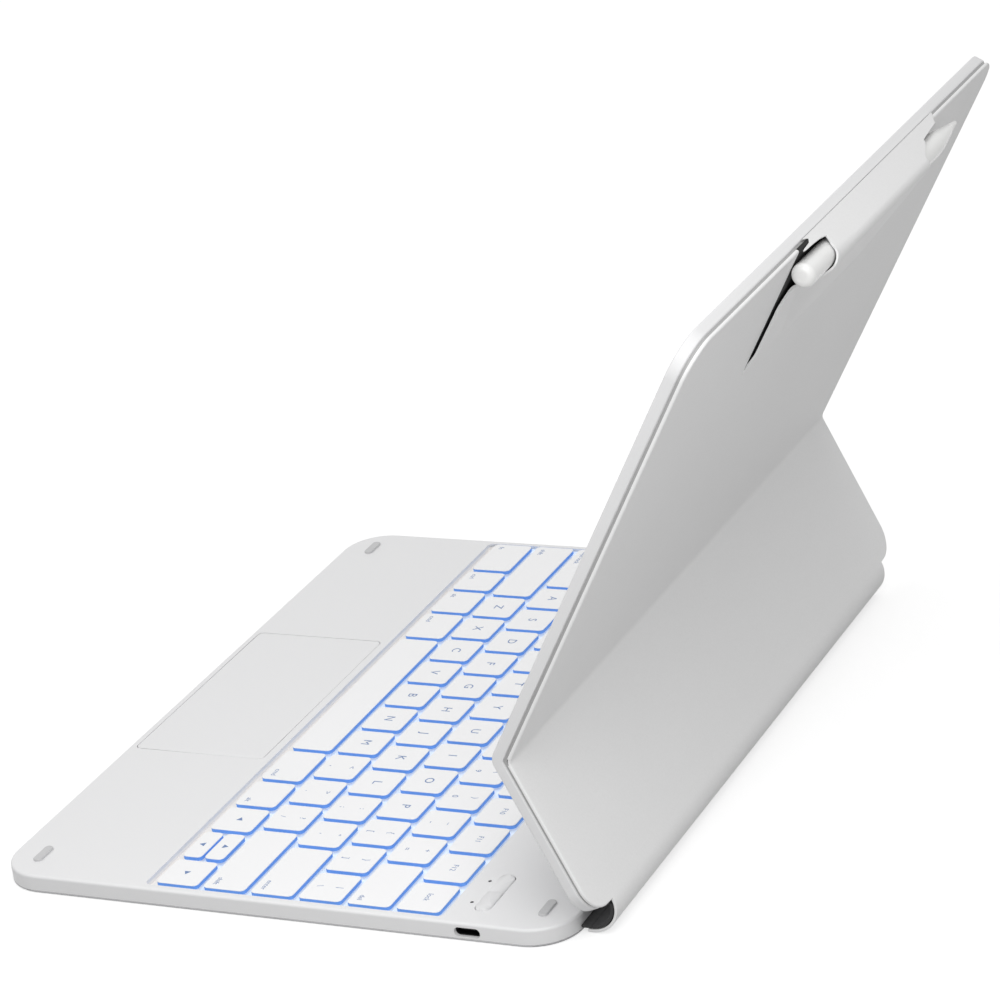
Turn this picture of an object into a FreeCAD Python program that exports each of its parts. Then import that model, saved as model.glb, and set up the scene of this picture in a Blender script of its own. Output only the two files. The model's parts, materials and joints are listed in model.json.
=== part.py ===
"""Tablet keyboard case: a slim keyboard base, a two-panel folding cover on torque hinges,
and a stylus in a sleeve on the back of the cover.

Millimetres. X runs to the typist's right, Y to the rear, Z up. The origin is the centre
of the base's underside. The cover pieces are modelled closed, lying flat over the base,
and are then swung open to the stand pose.
"""
import FreeCAD, Part
import math
import os

V = FreeCAD.Vector
X_AXIS = V(1, 0, 0)
Z_AXIS = V(0, 0, 1)

# Keyboard grid
KEY_PITCH = 18.8
ROW_PITCH = 17.9
KEY_GAP = 2.2
KEY_CORNER = 1.8
KEY_THICK = 1.5
KEY_RISE = 0.5
KEY_TRAVEL = 1.0
KEY_HOLLOW_LENGTH = 10.0
KEY_HOLLOW_WIDTH = 5.2
KEY_HOLLOW_DEPTH = 0.8
BLOCK_KEY_COUNT = 14.69
FUNCTION_KEYS = 14

# Base casing
BASE_THICK = 6.4
BASE_CORNER = 16.0
BASE_EDGE_ROUND = 1.0
SIDE_MARGIN = 2.93
PALM_DEPTH = 58.0
REAR_DECK_DEPTH = 44.0
WELL_FRONT_GAP = 2.4
WELL_REAR_GAP = 0.6
WELL_CORNER = 2.0
DECK_THICK = 1.2
WALL = 1.4
BOTTOM_THICK = 0.9
BOTTOM_EDGE_CUT = 0.4

# Running clearances, and the sides given to small round posts and holes
RUN_GAP = 0.3
FIT_GAP = 0.1
PIN_GAP = 0.05
POST_SIDES = 8

# Keyboard layers
TRAY_THICK = 0.4
TRAY_WALL = 1.2
MEMBRANE_THICK = 0.3
SUPPORT_THICK = 0.5
LIGHT_SHEET_THICK = 0.4
DOME_FOOT_RADIUS = 2.2
DOME_TOP_RADIUS = 1.5
DOME_SIDES = 6
LINK_WIDTH = 0.7
LINK_HEIGHT = 0.7
LINK_WALL_GAP = 0.4

# Touchpad
PAD_WIDTH = 96.0
PAD_FRONT_MARGIN = 3.0
PAD_REAR_MARGIN = 3.4
PAD_CORNER = 2.0
PAD_THICK = 1.0
PAD_TRAVEL = 0.25
PAD_BOARD_THICK = 0.8
PAD_BOARD_INSET = 2.0
PAD_CHANNEL_THICK = 0.5
PAD_CHANNEL_STANDOFF = 1.5
PAD_SWITCH_SIZE = 6.0

# Side buttons and lights at the right of the rear deck
BUTTON_LENGTH = 23.2
BUTTON_WIDTH = 5.4
BUTTON_X = 120.6
BUTTON_REAR_OFFSET = 11.0
BUTTON_RISE = 0.4
BUTTON_TRAVEL = 0.4
BUTTON_FLANGE = 0.6
BUTTON_FLANGE_THICK = 0.5
LIGHT_RADIUS = 0.6
LIGHT_SPACING = 14.0
LIGHT_LEAD = 5.2

# Deck bumpers
BUMPER_LENGTH = 10.0
BUMPER_WIDTH = 3.2
BUMPER_RISE = 0.9
BUMPER_SIDE_INSET = 14.2
BUMPER_END_INSET = 11.7

# Electronics
BOARD_THICK = 1.0
BOARD_STANDOFF = 1.3
BOARD_LENGTH = 60.0
BOARD_DEPTH = 23.0
BOARD_POST_RADIUS = 1.5
BOARD_POST_INSET = 3.0
BOARD_TRAY_GAP = 2.0
BATTERY_LENGTH = 96.0
BATTERY_THICK = 3.6
BATTERY_GAP = 6.0
BATTERY_CORNER = 2.0
PORT_WIDTH = 9.0
PORT_HEIGHT = 3.2
PORT_DEPTH = 6.2
PORT_WALL = 0.3
PORT_TONGUE = 0.7
PORT_TONGUE_INSET = 1.2
PORT_Z = 3.1
PORT_LEAD = 9.8
MAGNET_LENGTH = 24.0
MAGNET_WIDTH = 5.0
MAGNET_THICK = 2.2
MAGNET_X = 100.0

# Cover panels
PANEL_THICK = 6.0
TABLET_SPACE = 6.8
LOWER_LENGTH = 57.5
UPPER_LENGTH = 160.5
PANEL_TOP_CORNER = 12.5
PANEL_FOOT_CORNER = 10.0
PANEL_EDGE_CUT = 0.7
SKIN_THICK = 1.8
SKIN_RIM = 1.2
EDGE_GROOVE_WIDTH = 0.9
EDGE_GROOVE_DEPTH = 0.6
LINING_THICK = 0.8
CREASE_BEAD_RADIUS = 0.8
CREASE_GAP = 1.2
OPEN_ANGLE = 66.5
FOLD_ANGLE = 53.2
HOLD_MAGNET = (20.0, 8.0, 1.5)
HOLD_MAGNET_COLUMNS = 5
HOLD_MAGNET_STEP = 50.0
HOLD_MAGNET_ROWS = (30.0, 128.0)

# Rear spine and torque hinges
SPINE_FLOOR_GAP = 0.3
SPINE_SKIN = 1.0
SPINE_END_INSET = 13.0
SPINE_SKIN_LAP_ANGLE = 57.0
SPINE_LINING_SETBACK_ANGLE = 12.0
HINGE_BEHIND_BASE = 3.7
HINGE_X = 90.0
HINGE_LENGTH = 32.0
KNUCKLE_RADIUS = 2.4
PIN_RADIUS = 1.2
PIN_OVERHANG = 0.6
LEAF_THICK = 1.2
LEAF_HEIGHT = 3.2
LEAF_REACH = 14.0
PANEL_LEAF_REACH = 17.0
PANEL_LEAF_THICK = 1.0
SCREW_SHANK = 0.8
SCREW_HEAD = 1.5
SCREW_HEAD_THICK = 0.6
SCREW_SPACING = 16.0

# Stylus and its sleeve
STYLUS_RADIUS = 4.0
STYLUS_LENGTH = 149.0
STYLUS_END_X = 58.5
STYLUS_END_ROUND = 2.4
STYLUS_END_FACETS = 4
STYLUS_TAPER = 16.0
NIB_LENGTH = 7.0
NIB_ROOT_RADIUS = 1.6
NIB_TIP_RADIUS = 0.6
SLEEVE_NEAR_X = 48.0
SLEEVE_FAR_X = -54.0
SLEEVE_SKIN = 0.7
STYLUS_BELOW_TOP = 6.5
SLEEVE_TOP_MARGIN = 1.0
SLEEVE_DEPTH = 47.5
SLEEVE_RIDGE_ROUND = 3.2

# Worked-out sizes of the base
BLOCK_WIDTH = BLOCK_KEY_COUNT * KEY_PITCH
BASE_WIDTH = BLOCK_WIDTH + 2 * SIDE_MARGIN
ROWS_DEPTH = 6 * ROW_PITCH
WELL_DEPTH = WELL_FRONT_GAP + ROWS_DEPTH + WELL_REAR_GAP
BASE_DEPTH = PALM_DEPTH + WELL_DEPTH + REAR_DECK_DEPTH
HALF_W = BASE_WIDTH / 2
FRONT_Y = -BASE_DEPTH / 2
REAR_Y = BASE_DEPTH / 2
WELL_FRONT = FRONT_Y + PALM_DEPTH
WELL_REAR = WELL_FRONT + WELL_DEPTH
ROWS_FRONT = WELL_FRONT + WELL_FRONT_GAP
DECK_UNDER = BASE_THICK - DECK_THICK
INNER_W = HALF_W - WALL

# Heights in the key well
KEY_TOP = BASE_THICK + KEY_RISE
KEY_UNDER = KEY_TOP - KEY_THICK
WELL_FLOOR = KEY_UNDER - KEY_TRAVEL - RUN_GAP
DOME_TOP = KEY_UNDER + KEY_HOLLOW_DEPTH - KEY_TRAVEL - RUN_GAP
MEMBRANE_TOP = WELL_FLOOR - TRAY_THICK
SUPPORT_TOP = MEMBRANE_TOP - MEMBRANE_THICK
LIGHT_SHEET_TOP = SUPPORT_TOP - SUPPORT_THICK

# Cover geometry in the closed position
CLOSED_HEIGHT = BASE_THICK + TABLET_SPACE + PANEL_THICK
SPINE_RADIUS = CLOSED_HEIGHT / 2
HINGE_Y = REAR_Y + HINGE_BEHIND_BASE
HINGE_Z = SPINE_RADIUS + SPINE_FLOOR_GAP
OUTER_Z = HINGE_Z + SPINE_RADIUS
INNER_Z = OUTER_Z - PANEL_THICK
CREASE_Y = HINGE_Y - LOWER_LENGTH
CREASE_Z = OUTER_Z - CREASE_BEAD_RADIUS
COVER_TOP_Y = CREASE_Y - UPPER_LENGTH
SPINE_HALF = HALF_W - SPINE_END_INSET
BOARD_FLOOR = INNER_Z + LINING_THICK
BOARD_ROOF = OUTER_Z - SKIN_THICK

# Keys of each row from the left, with their widths in key pitches. The first key of
# a row takes what the others leave of the block's width.
ARROW_COLUMN = "arrow_column"
KEY_ROWS = [
    [("key_fn", None), ("key_control", 0.96), ("key_alt_left", 1.06), ("key_meta_left", 1.19),
     ("key_space", 4.89), ("key_meta_right", 1.24), ("key_alt_right", 1.03),
     ("key_arrow_left", 0.95), (ARROW_COLUMN, 1.04), ("key_arrow_right", 0.97)],
    [("key_shift_left", None)] + [("keys_bottom_letters", 1.0)] * 10 + [("key_shift_right", 2.24)],
    [("key_caps_lock", None)] + [("keys_home_letters", 1.0)] * 11 + [("key_return", 1.78)],
    [("key_tab", None)] + [("keys_top_letters", 1.0)] * 12 + [("keys_top_letters", 1.03)],
    [("keys_number_row", None)] + [("keys_number_row", 1.0)] * 12 + [("key_delete", 1.55)],
    [("keys_function_row", BLOCK_KEY_COUNT / FUNCTION_KEYS)] * FUNCTION_KEYS,
]


def box(x0, x1, y0, y1, z0, z1):
    """Block between two corners."""
    return Part.makeBox(x1 - x0, y1 - y0, z1 - z0, V(x0, y0, z0))


def corner_arc(cx, cy, radius, start, z):
    """Quarter circle that starts at an angle in degrees and turns left."""
    circle = Part.Circle(V(cx, cy, z), Z_AXIS, radius)
    return Part.Arc(circle, math.radians(start), math.radians(start + 90)).toShape()


def plate(x0, x1, y0, y1, z0, z1, front_radius, rear_radius=None):
    """Flat plate with round corners, one radius at its front and one at its rear."""
    rear_radius = front_radius if rear_radius is None else rear_radius
    f, r = front_radius, rear_radius
    lines = [(V(x0 + f, y0, z0), V(x1 - f, y0, z0)), (V(x1, y0 + f, z0), V(x1, y1 - r, z0)),
             (V(x1 - r, y1, z0), V(x0 + r, y1, z0)), (V(x0, y1 - r, z0), V(x0, y0 + f, z0))]
    arcs = [(x1 - f, y0 + f, f, 270), (x1 - r, y1 - r, r, 0), (x0 + r, y1 - r, r, 90), (x0 + f, y0 + f, f, 180)]
    edges = []
    for (start, end), (cx, cy, radius, angle) in zip(lines, arcs):
        edges.append(Part.makeLine(start, end))
        if radius > 0:
            edges.append(corner_arc(cx, cy, radius, angle, z0))
    return Part.Face(Part.Wire(edges)).extrude(V(0, 0, z1 - z0))


def cut_corner_plate(x0, x1, y0, y1, z0, z1, corner):
    """Flat plate whose round corners are each one straight cut that touches the round."""
    c = corner * (2 - math.sqrt(2))
    outline = [V(x0 + c, y0, z0), V(x1 - c, y0, z0), V(x1, y0 + c, z0), V(x1, y1 - c, z0),
               V(x1 - c, y1, z0), V(x0 + c, y1, z0), V(x0, y1 - c, z0), V(x0, y0 + c, z0)]
    return Part.Face(Part.makePolygon(outline + outline[:1])).extrude(V(0, 0, z1 - z0))


def ring(cx, cy, radius, sides, z):
    """Corners of a regular polygon, as the outline of a small round piece."""
    turn = 2 * math.pi / sides
    return [V(cx + radius * math.cos(i * turn), cy + radius * math.sin(i * turn), z) for i in range(sides)]


def post(cx, cy, radius, z0, z1):
    """Small upright post or hole."""
    outline = ring(cx, cy, radius, POST_SIDES, z0)
    return Part.Face(Part.makePolygon(outline + outline[:1])).extrude(V(0, 0, z1 - z0))


def round_bar(cx, cy, length, width, z0, z1, end_round):
    """Short bar along X with round ends."""
    return plate(cx - length / 2, cx + length / 2, cy - width / 2, cy + width / 2, z0, z1, end_round)


def edges_at_height(shape, z):
    """Edges that lie wholly at one height."""
    return [e for e in shape.Edges if abs(e.BoundBox.ZMin - z) < 1e-4 and abs(e.BoundBox.ZMax - z) < 1e-4]


def rod(x0, x1, y, z, radius):
    """Round rod along X."""
    return Part.makeCylinder(radius, x1 - x0, V(x0, y, z), X_AXIS)


def prism_along_x(points, x0, x1):
    """Solid with a straight-sided section in the Y-Z plane."""
    corners = [V(x0, y, z) for y, z in points]
    return Part.Face(Part.makePolygon(corners + corners[:1])).extrude(V(x1 - x0, 0, 0))


def ring_sector(inner, outer, start, end, x0, x1):
    """Part of a tube about the cover hinge, between two angles in degrees from +Y."""
    tube = rod(x0, x1, 0, 0, outer).cut(rod(x0, x1, 0, 0, inner))
    reach = 3 * outer
    steps = 4
    fan = [(0.0, 0.0)]
    for i in range(steps + 1):
        angle = math.radians(start + (end - start) * i / steps)
        fan.append((reach * math.cos(angle), reach * math.sin(angle)))
    sector = tube.common(prism_along_x(fan, x0, x1))
    sector.translate(V(0, HINGE_Y, HINGE_Z))
    return sector


def open_lower(shape):
    """Swing a closed lower-panel piece to its stand angle."""
    turned = shape.copy()
    turned.rotate(V(0, HINGE_Y, HINGE_Z), X_AXIS, -OPEN_ANGLE)
    return turned


def open_upper(shape):
    """Fold a closed upper-panel piece at the crease, then swing it with the lower panel."""
    turned = shape.copy()
    turned.rotate(V(0, CREASE_Y, CREASE_Z), X_AXIS, -FOLD_ANGLE)
    return open_lower(turned)


def export(name, solids):
    """Write one node, a single solid or a group of separate ones."""
    shape = solids[0] if len(solids) == 1 else Part.makeCompound(solids)
    shape.exportStep("parts/%s.step" % name)


def key_cells():
    """Cell of every key: node, centre x, centre y, width, depth, all in millimetres."""
    cells = []
    for row, keys in enumerate(KEY_ROWS):
        known = sum(width for _, width in keys if width)
        x = -BLOCK_WIDTH / 2
        y = ROWS_FRONT + (row + 0.5) * ROW_PITCH
        for node, width in keys:
            step = (BLOCK_KEY_COUNT - known if width is None else width) * KEY_PITCH
            if node == ARROW_COLUMN:
                quarter = ROW_PITCH / 4
                half = ROW_PITCH / 2 + KEY_GAP / 4
                cells.append(("key_arrow_down", x + step / 2, y - quarter + KEY_GAP / 8, step, half))
                cells.append(("key_arrow_up", x + step / 2, y + quarter - KEY_GAP / 8, step, half))
            else:
                cells.append((node, x + step / 2, y, step, ROW_PITCH))
            x += step
    return cells


def keycap(cx, cy, width, depth):
    """Flat cap with round corners and a hollow underneath that clears its dome."""
    half_x, half_y = (width - KEY_GAP) / 2, (depth - KEY_GAP) / 2
    cap = cut_corner_plate(cx - half_x, cx + half_x, cy - half_y, cy + half_y, KEY_UNDER, KEY_TOP, KEY_CORNER)
    hollow_x, hollow_y = KEY_HOLLOW_LENGTH / 2, KEY_HOLLOW_WIDTH / 2
    return cap.cut(box(cx - hollow_x, cx + hollow_x, cy - hollow_y, cy + hollow_y,
                       KEY_UNDER, KEY_UNDER + KEY_HOLLOW_DEPTH))


def dome(cx, cy):
    """Rubber dome under a key, at the height that a pressed key leaves it."""
    foot = ring(cx, cy, DOME_FOOT_RADIUS, DOME_SIDES, WELL_FLOOR)
    top = ring(cx, cy, DOME_TOP_RADIUS, DOME_SIDES, DOME_TOP)
    walls = [foot[::-1], top]
    for i in range(DOME_SIDES):
        walls.append([foot[i - 1], foot[i], top[i], top[i - 1]])
    faces = [Part.Face(Part.makePolygon(wall + wall[:1])) for wall in walls]
    return Part.Solid(Part.Shell(faces))


def links(cx, cy):
    """Folded scissor links on both sides of a dome, inside the keycap's hollow."""
    bars = []
    half = KEY_HOLLOW_WIDTH / 2 - LINK_WALL_GAP
    outer = KEY_HOLLOW_LENGTH / 2 - LINK_WALL_GAP
    for x in (cx - outer, cx + outer - LINK_WIDTH):
        bars.append(box(x, x + LINK_WIDTH, cy - half, cy + half, WELL_FLOOR, WELL_FLOOR + LINK_HEIGHT))
    return bars


def make_keys():
    """Keycaps with their domes and links."""
    caps, domes, scissor = {}, [], []
    for node, cx, cy, width, depth in key_cells():
        caps.setdefault(node, []).append(keycap(cx, cy, width, depth))
        domes.append(dome(cx, cy))
        scissor.extend(links(cx, cy))
    for node, solids in caps.items():
        export(node, solids)
    export("rubber_domes", domes)
    export("scissor_links", scissor)


def make_key_layers():
    """Tray, membrane, support plate and light sheet under the keys."""
    half = BLOCK_WIDTH / 2 + FIT_GAP
    reach = TRAY_WALL
    tray = box(-half - reach, half + reach, WELL_FRONT - reach, WELL_REAR + reach, MEMBRANE_TOP, DECK_UNDER)
    tray = tray.cut(plate(-half, half, WELL_FRONT, WELL_REAR, WELL_FLOOR, DECK_UNDER, WELL_CORNER))
    export("key_well_tray", [tray])
    for name, top, thick in (("switch_membrane", MEMBRANE_TOP, MEMBRANE_THICK),
                             ("keyboard_support_plate", SUPPORT_TOP, SUPPORT_THICK),
                             ("backlight_sheet", LIGHT_SHEET_TOP, LIGHT_SHEET_THICK)):
        export(name, [box(-half, half, WELL_FRONT, WELL_REAR, top - thick, top)])


PAD_FRONT = FRONT_Y + PAD_FRONT_MARGIN
PAD_REAR = WELL_FRONT - PAD_REAR_MARGIN
PAD_UNDER = BASE_THICK - PAD_THICK
PAD_BOARD_UNDER = PAD_UNDER - PAD_BOARD_THICK
PAD_SWITCH_TOP = PAD_BOARD_UNDER - PAD_TRAVEL - RUN_GAP
CHANNEL_FLOOR = BOTTOM_THICK + PAD_CHANNEL_STANDOFF


def make_touchpad():
    """Clicking pad, its circuit board and the channel below that holds its switch."""
    half = PAD_WIDTH / 2
    export("touchpad_plate", [plate(-half, half, PAD_FRONT, PAD_REAR, PAD_UNDER, BASE_THICK, PAD_CORNER)])
    inset = PAD_BOARD_INSET
    export("touchpad_board", [box(-half + inset, half - inset, PAD_FRONT + inset, PAD_REAR - inset,
                                  PAD_BOARD_UNDER, PAD_UNDER)])
    wall = PAD_CHANNEL_THICK
    room = half + 2 * RUN_GAP
    front, rear = PAD_FRONT, PAD_REAR
    channel = box(-room - wall, room + wall, front, rear, CHANNEL_FLOOR, DECK_UNDER)
    channel = channel.cut(box(-room, room, front, rear, CHANNEL_FLOOR + wall, DECK_UNDER))
    export("touchpad_channel", [channel])


def touchpad_switch():
    """Switch under the front of the touchpad."""
    size = PAD_SWITCH_SIZE / 2
    y = PAD_FRONT + 2 * PAD_SWITCH_SIZE
    switch = box(-size, size, y - size, y + size, CHANNEL_FLOOR + PAD_CHANNEL_THICK, PAD_SWITCH_TOP - RUN_GAP)
    return switch.fuse(post(0, y, size / 2, PAD_SWITCH_TOP - RUN_GAP, PAD_SWITCH_TOP))


BUTTON_Y = WELL_REAR + BUTTON_REAR_OFFSET
BUTTON_TOP = BASE_THICK + BUTTON_RISE
BUTTON_UNDER = DECK_UNDER - RUN_GAP - BUTTON_FLANGE_THICK
BOARD_TOP = BOTTOM_THICK + BOARD_STANDOFF + BOARD_THICK
BOARD_X1 = HALF_W - WALL - PORT_DEPTH
BOARD_X0 = BOARD_X1 - BOARD_LENGTH
BOARD_Y0 = WELL_REAR + TRAY_WALL + BOARD_TRAY_GAP
BOARD_Y1 = BOARD_Y0 + BOARD_DEPTH
PORT_Y = WELL_REAR + PORT_LEAD


def make_buttons():
    """Two halves of the capsule button, the light pipes, and the switches under buttons and touchpad."""
    split = RUN_GAP / 2
    end_round = BUTTON_WIDTH / 2 - FIT_GAP
    whole = round_bar(BUTTON_X, BUTTON_Y, BUTTON_LENGTH, BUTTON_WIDTH, DECK_UNDER - RUN_GAP, BUTTON_TOP, end_round)
    reach_x, reach_y = BUTTON_LENGTH / 2 + BUTTON_FLANGE, BUTTON_WIDTH / 2 + BUTTON_FLANGE
    flange = box(BUTTON_X - reach_x, BUTTON_X + reach_x, BUTTON_Y - reach_y, BUTTON_Y + reach_y,
                 BUTTON_UNDER, DECK_UNDER - RUN_GAP)
    whole = whole.fuse(flange).removeSplitter()
    far = BUTTON_LENGTH
    tall = BASE_THICK * 2
    for name, x0, x1 in (("button_left", BUTTON_X - far, BUTTON_X - split),
                         ("button_right", BUTTON_X + split, BUTTON_X + far)):
        export(name, [whole.common(box(x0, x1, BUTTON_Y - far, BUTTON_Y + far, 0, tall))])
    switches = [touchpad_switch()]
    half = BUTTON_WIDTH / 2
    top = BUTTON_UNDER - BUTTON_TRAVEL - RUN_GAP
    for side in (-1, 1):
        x = BUTTON_X + side * BUTTON_LENGTH / 4
        switches.append(box(x - half, x + half, BUTTON_Y - half, BUTTON_Y + half, BOARD_TOP, top))
    export("tact_switches", switches)
    lights = []
    for side in (-1, 1):
        x = BUTTON_X + side * LIGHT_SPACING / 2
        lights.append(post(x, BUTTON_Y - LIGHT_LEAD, LIGHT_RADIUS, BOARD_TOP, BASE_THICK))
    export("indicator_lights", lights)


def make_electronics():
    """Circuit board, charging port, batteries and the magnets that hold the cover shut."""
    board = box(BOARD_X0, BOARD_X1, BOARD_Y0, BOARD_Y1, BOARD_TOP - BOARD_THICK, BOARD_TOP)
    export("main_board", [board])

    x0, x1 = BOARD_X1, HALF_W - WALL
    shell = plate(-PORT_WIDTH / 2, PORT_WIDTH / 2, -PORT_HEIGHT / 2, PORT_HEIGHT / 2, 0, x1 - x0,
                  PORT_HEIGHT / 2 - FIT_GAP)
    bore = plate(-PORT_WIDTH / 2 + PORT_WALL, PORT_WIDTH / 2 - PORT_WALL,
                 -PORT_HEIGHT / 2 + PORT_WALL, PORT_HEIGHT / 2 - PORT_WALL, PORT_WALL, x1 - x0,
                 PORT_HEIGHT / 2 - PORT_WALL - FIT_GAP)
    tongue_half = PORT_WIDTH / 2 - PORT_TONGUE_INSET
    tongue = box(-tongue_half, tongue_half, -PORT_TONGUE / 2, PORT_TONGUE / 2, 0, x1 - x0 - PORT_TONGUE_INSET)
    socket = shell.cut(bore).fuse(tongue).removeSplitter()
    socket.rotate(V(0, 0, 0), V(1, 1, 1), 120)
    socket.translate(V(x0, PORT_Y, PORT_Z))
    export("usb_c_socket", [socket])

    y0, y1 = BOARD_Y0, BOARD_Y1
    right = BOARD_X0 - BATTERY_GAP
    for name, far in (("battery_right", right), ("battery_left", right - BATTERY_LENGTH - BATTERY_GAP)):
        export(name, [cut_corner_plate(far - BATTERY_LENGTH, far, y0, y1, BOTTOM_THICK, BOTTOM_THICK + BATTERY_THICK,
                                       BATTERY_CORNER)])

    magnets = []
    y = FRONT_Y + BUMPER_END_INSET
    for side in (-1, 1):
        x = side * MAGNET_X
        magnets.append(box(x - MAGNET_LENGTH / 2, x + MAGNET_LENGTH / 2, y, y + MAGNET_WIDTH,
                           BOTTOM_THICK, BOTTOM_THICK + MAGNET_THICK))
    export("closing_magnets", magnets)


def bumper_places():
    """Centres of the four deck bumpers."""
    x = HALF_W - BUMPER_SIDE_INSET
    return [(sx * x, sy * (BASE_DEPTH / 2 - BUMPER_END_INSET)) for sx in (-1, 1) for sy in (-1, 1)]


def make_base_shell():
    """Deck cover with its openings, bottom cover with its bosses, and the deck bumpers."""
    deck = plate(-HALF_W, HALF_W, FRONT_Y, REAR_Y, BOTTOM_THICK, BASE_THICK, BASE_CORNER)
    deck = deck.makeFillet(BASE_EDGE_ROUND, edges_at_height(deck, BASE_THICK))
    deck = deck.cut(plate(-INNER_W, INNER_W, FRONT_Y + WALL, REAR_Y - WALL, BOTTOM_THICK, DECK_UNDER,
                          BASE_CORNER - WALL))
    half = BLOCK_WIDTH / 2 + FIT_GAP
    cuts = [plate(-half, half, WELL_FRONT, WELL_REAR, DECK_UNDER, BASE_THICK, WELL_CORNER)]
    pad = PAD_WIDTH / 2 + RUN_GAP
    cuts.append(plate(-pad, pad, PAD_FRONT - RUN_GAP, PAD_REAR + RUN_GAP, DECK_UNDER, BASE_THICK,
                      PAD_CORNER + RUN_GAP))
    cuts.append(round_bar(BUTTON_X, BUTTON_Y, BUTTON_LENGTH + 2 * RUN_GAP, BUTTON_WIDTH + 2 * RUN_GAP,
                          DECK_UNDER, BASE_THICK, BUTTON_WIDTH / 2))
    for side in (-1, 1):
        x = BUTTON_X + side * LIGHT_SPACING / 2
        cuts.append(post(x, BUTTON_Y - LIGHT_LEAD, LIGHT_RADIUS + PIN_GAP, DECK_UNDER, BASE_THICK))
        leaf = side * HINGE_X
        room = HINGE_LENGTH / 2 + RUN_GAP
        cuts.append(box(leaf - room, leaf + room, REAR_Y - 2 * WALL, REAR_Y + WALL,
                        LEAF_HEIGHT - RUN_GAP, LEAF_HEIGHT + LEAF_THICK + RUN_GAP))
    port = plate(-PORT_WIDTH / 2 - FIT_GAP, PORT_WIDTH / 2 + FIT_GAP, -PORT_HEIGHT / 2 - FIT_GAP,
                 PORT_HEIGHT / 2 + FIT_GAP, -WALL, 2 * WALL, PORT_HEIGHT / 2)
    port.rotate(V(0, 0, 0), V(1, 1, 1), 120)
    port.translate(V(HALF_W - WALL, PORT_Y, PORT_Z))
    cuts.append(port)
    export("deck_cover", [deck.cut(cuts)])

    bottom = plate(-HALF_W, HALF_W, FRONT_Y, REAR_Y, 0, BOTTOM_THICK, BASE_CORNER)
    bottom = bottom.makeChamfer(BOTTOM_EDGE_CUT, edges_at_height(bottom, 0))
    bosses = []
    for side in (-1, 1):
        x = side * HINGE_X
        y1 = REAR_Y - WALL - FIT_GAP
        bosses.append(box(x - HINGE_LENGTH / 2, x + HINGE_LENGTH / 2, REAR_Y - LEAF_REACH, y1,
                          BOTTOM_THICK, LEAF_HEIGHT))
    inset = BOARD_POST_INSET
    for x in (BOARD_X0 + inset, BOARD_X1 - inset):
        for y in (BOARD_Y0 + inset, BOARD_Y1 - inset):
            bosses.append(post(x, y, BOARD_POST_RADIUS, BOTTOM_THICK, BOTTOM_THICK + BOARD_STANDOFF))
    bottom = bottom.fuse(bosses).removeSplitter()
    for x, y in screw_places():
        bottom = bottom.cut(post(x, y, SCREW_SHANK, BOTTOM_THICK, LEAF_HEIGHT))
    export("bottom_cover", [bottom])

    bumpers = []
    for x, y in bumper_places():
        half_x, half_y = BUMPER_LENGTH / 2, BUMPER_WIDTH / 2
        bumpers.append(cut_corner_plate(x - half_x, x + half_x, y - half_y, y + half_y,
                                        BASE_THICK, BASE_THICK + BUMPER_RISE, half_y))
    export("deck_bumpers", bumpers)


def screw_places():
    """Centres of the screws that hold the hinge leaves in the base."""
    y = REAR_Y - LEAF_REACH / 2
    places = []
    for side in (-1, 1):
        for end in (-1, 1):
            places.append((side * HINGE_X + end * SCREW_SPACING / 2, y))
    return places


def make_hinges():
    """Two torque hinges: a leaf with a barrel on the base, one on the cover, and the pin through both."""
    leaves, cover_leaves, pins, screws = [], [], [], []
    web = LEAF_THICK / 2
    roof = BOARD_FLOOR + PANEL_LEAF_THICK
    for side in (-1, 1):
        x0 = side * HINGE_X - HINGE_LENGTH / 2
        x1 = x0 + HINGE_LENGTH
        base_end = side * HINGE_X - RUN_GAP / 2
        cover_end = base_end + RUN_GAP
        bore = rod(x0, x1, HINGE_Y, HINGE_Z, PIN_RADIUS + PIN_GAP)

        leaf = box(x0, x1, REAR_Y - LEAF_REACH, HINGE_Y + web, LEAF_HEIGHT, LEAF_HEIGHT + LEAF_THICK)
        leaf = leaf.fuse([box(x0, base_end, HINGE_Y - web, HINGE_Y + web, LEAF_HEIGHT, HINGE_Z),
                          rod(x0, base_end, HINGE_Y, HINGE_Z, KNUCKLE_RADIUS)])
        holes = [post(x, y, SCREW_SHANK, LEAF_HEIGHT, LEAF_HEIGHT + LEAF_THICK) for x, y in screw_places()]
        leaves.append(leaf.cut([bore] + holes).removeSplitter())

        cover_leaf = rod(cover_end, x1, HINGE_Y, HINGE_Z, KNUCKLE_RADIUS)
        cover_leaf = cover_leaf.fuse([box(cover_end, x1, HINGE_Y - web, HINGE_Y + web, HINGE_Z, roof),
                                      box(x0, x1, HINGE_Y - PANEL_LEAF_REACH, HINGE_Y + web, BOARD_FLOOR, roof)])
        cover_leaves.append(open_lower(cover_leaf.cut(bore).removeSplitter()))
        pins.append(rod(x0 - PIN_OVERHANG, x1 + PIN_OVERHANG, HINGE_Y, HINGE_Z, PIN_RADIUS))
    for x, y in screw_places():
        head = LEAF_HEIGHT + LEAF_THICK
        shank = post(x, y, SCREW_SHANK - PIN_GAP, BOTTOM_THICK, head)
        screws.append(shank.fuse(post(x, y, SCREW_HEAD, head, head + SCREW_HEAD_THICK)).removeSplitter())
    export("hinge_base_leaves", leaves)
    export("hinge_cover_leaves", cover_leaves)
    export("hinge_pins", pins)
    export("hinge_screws", screws)


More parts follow.
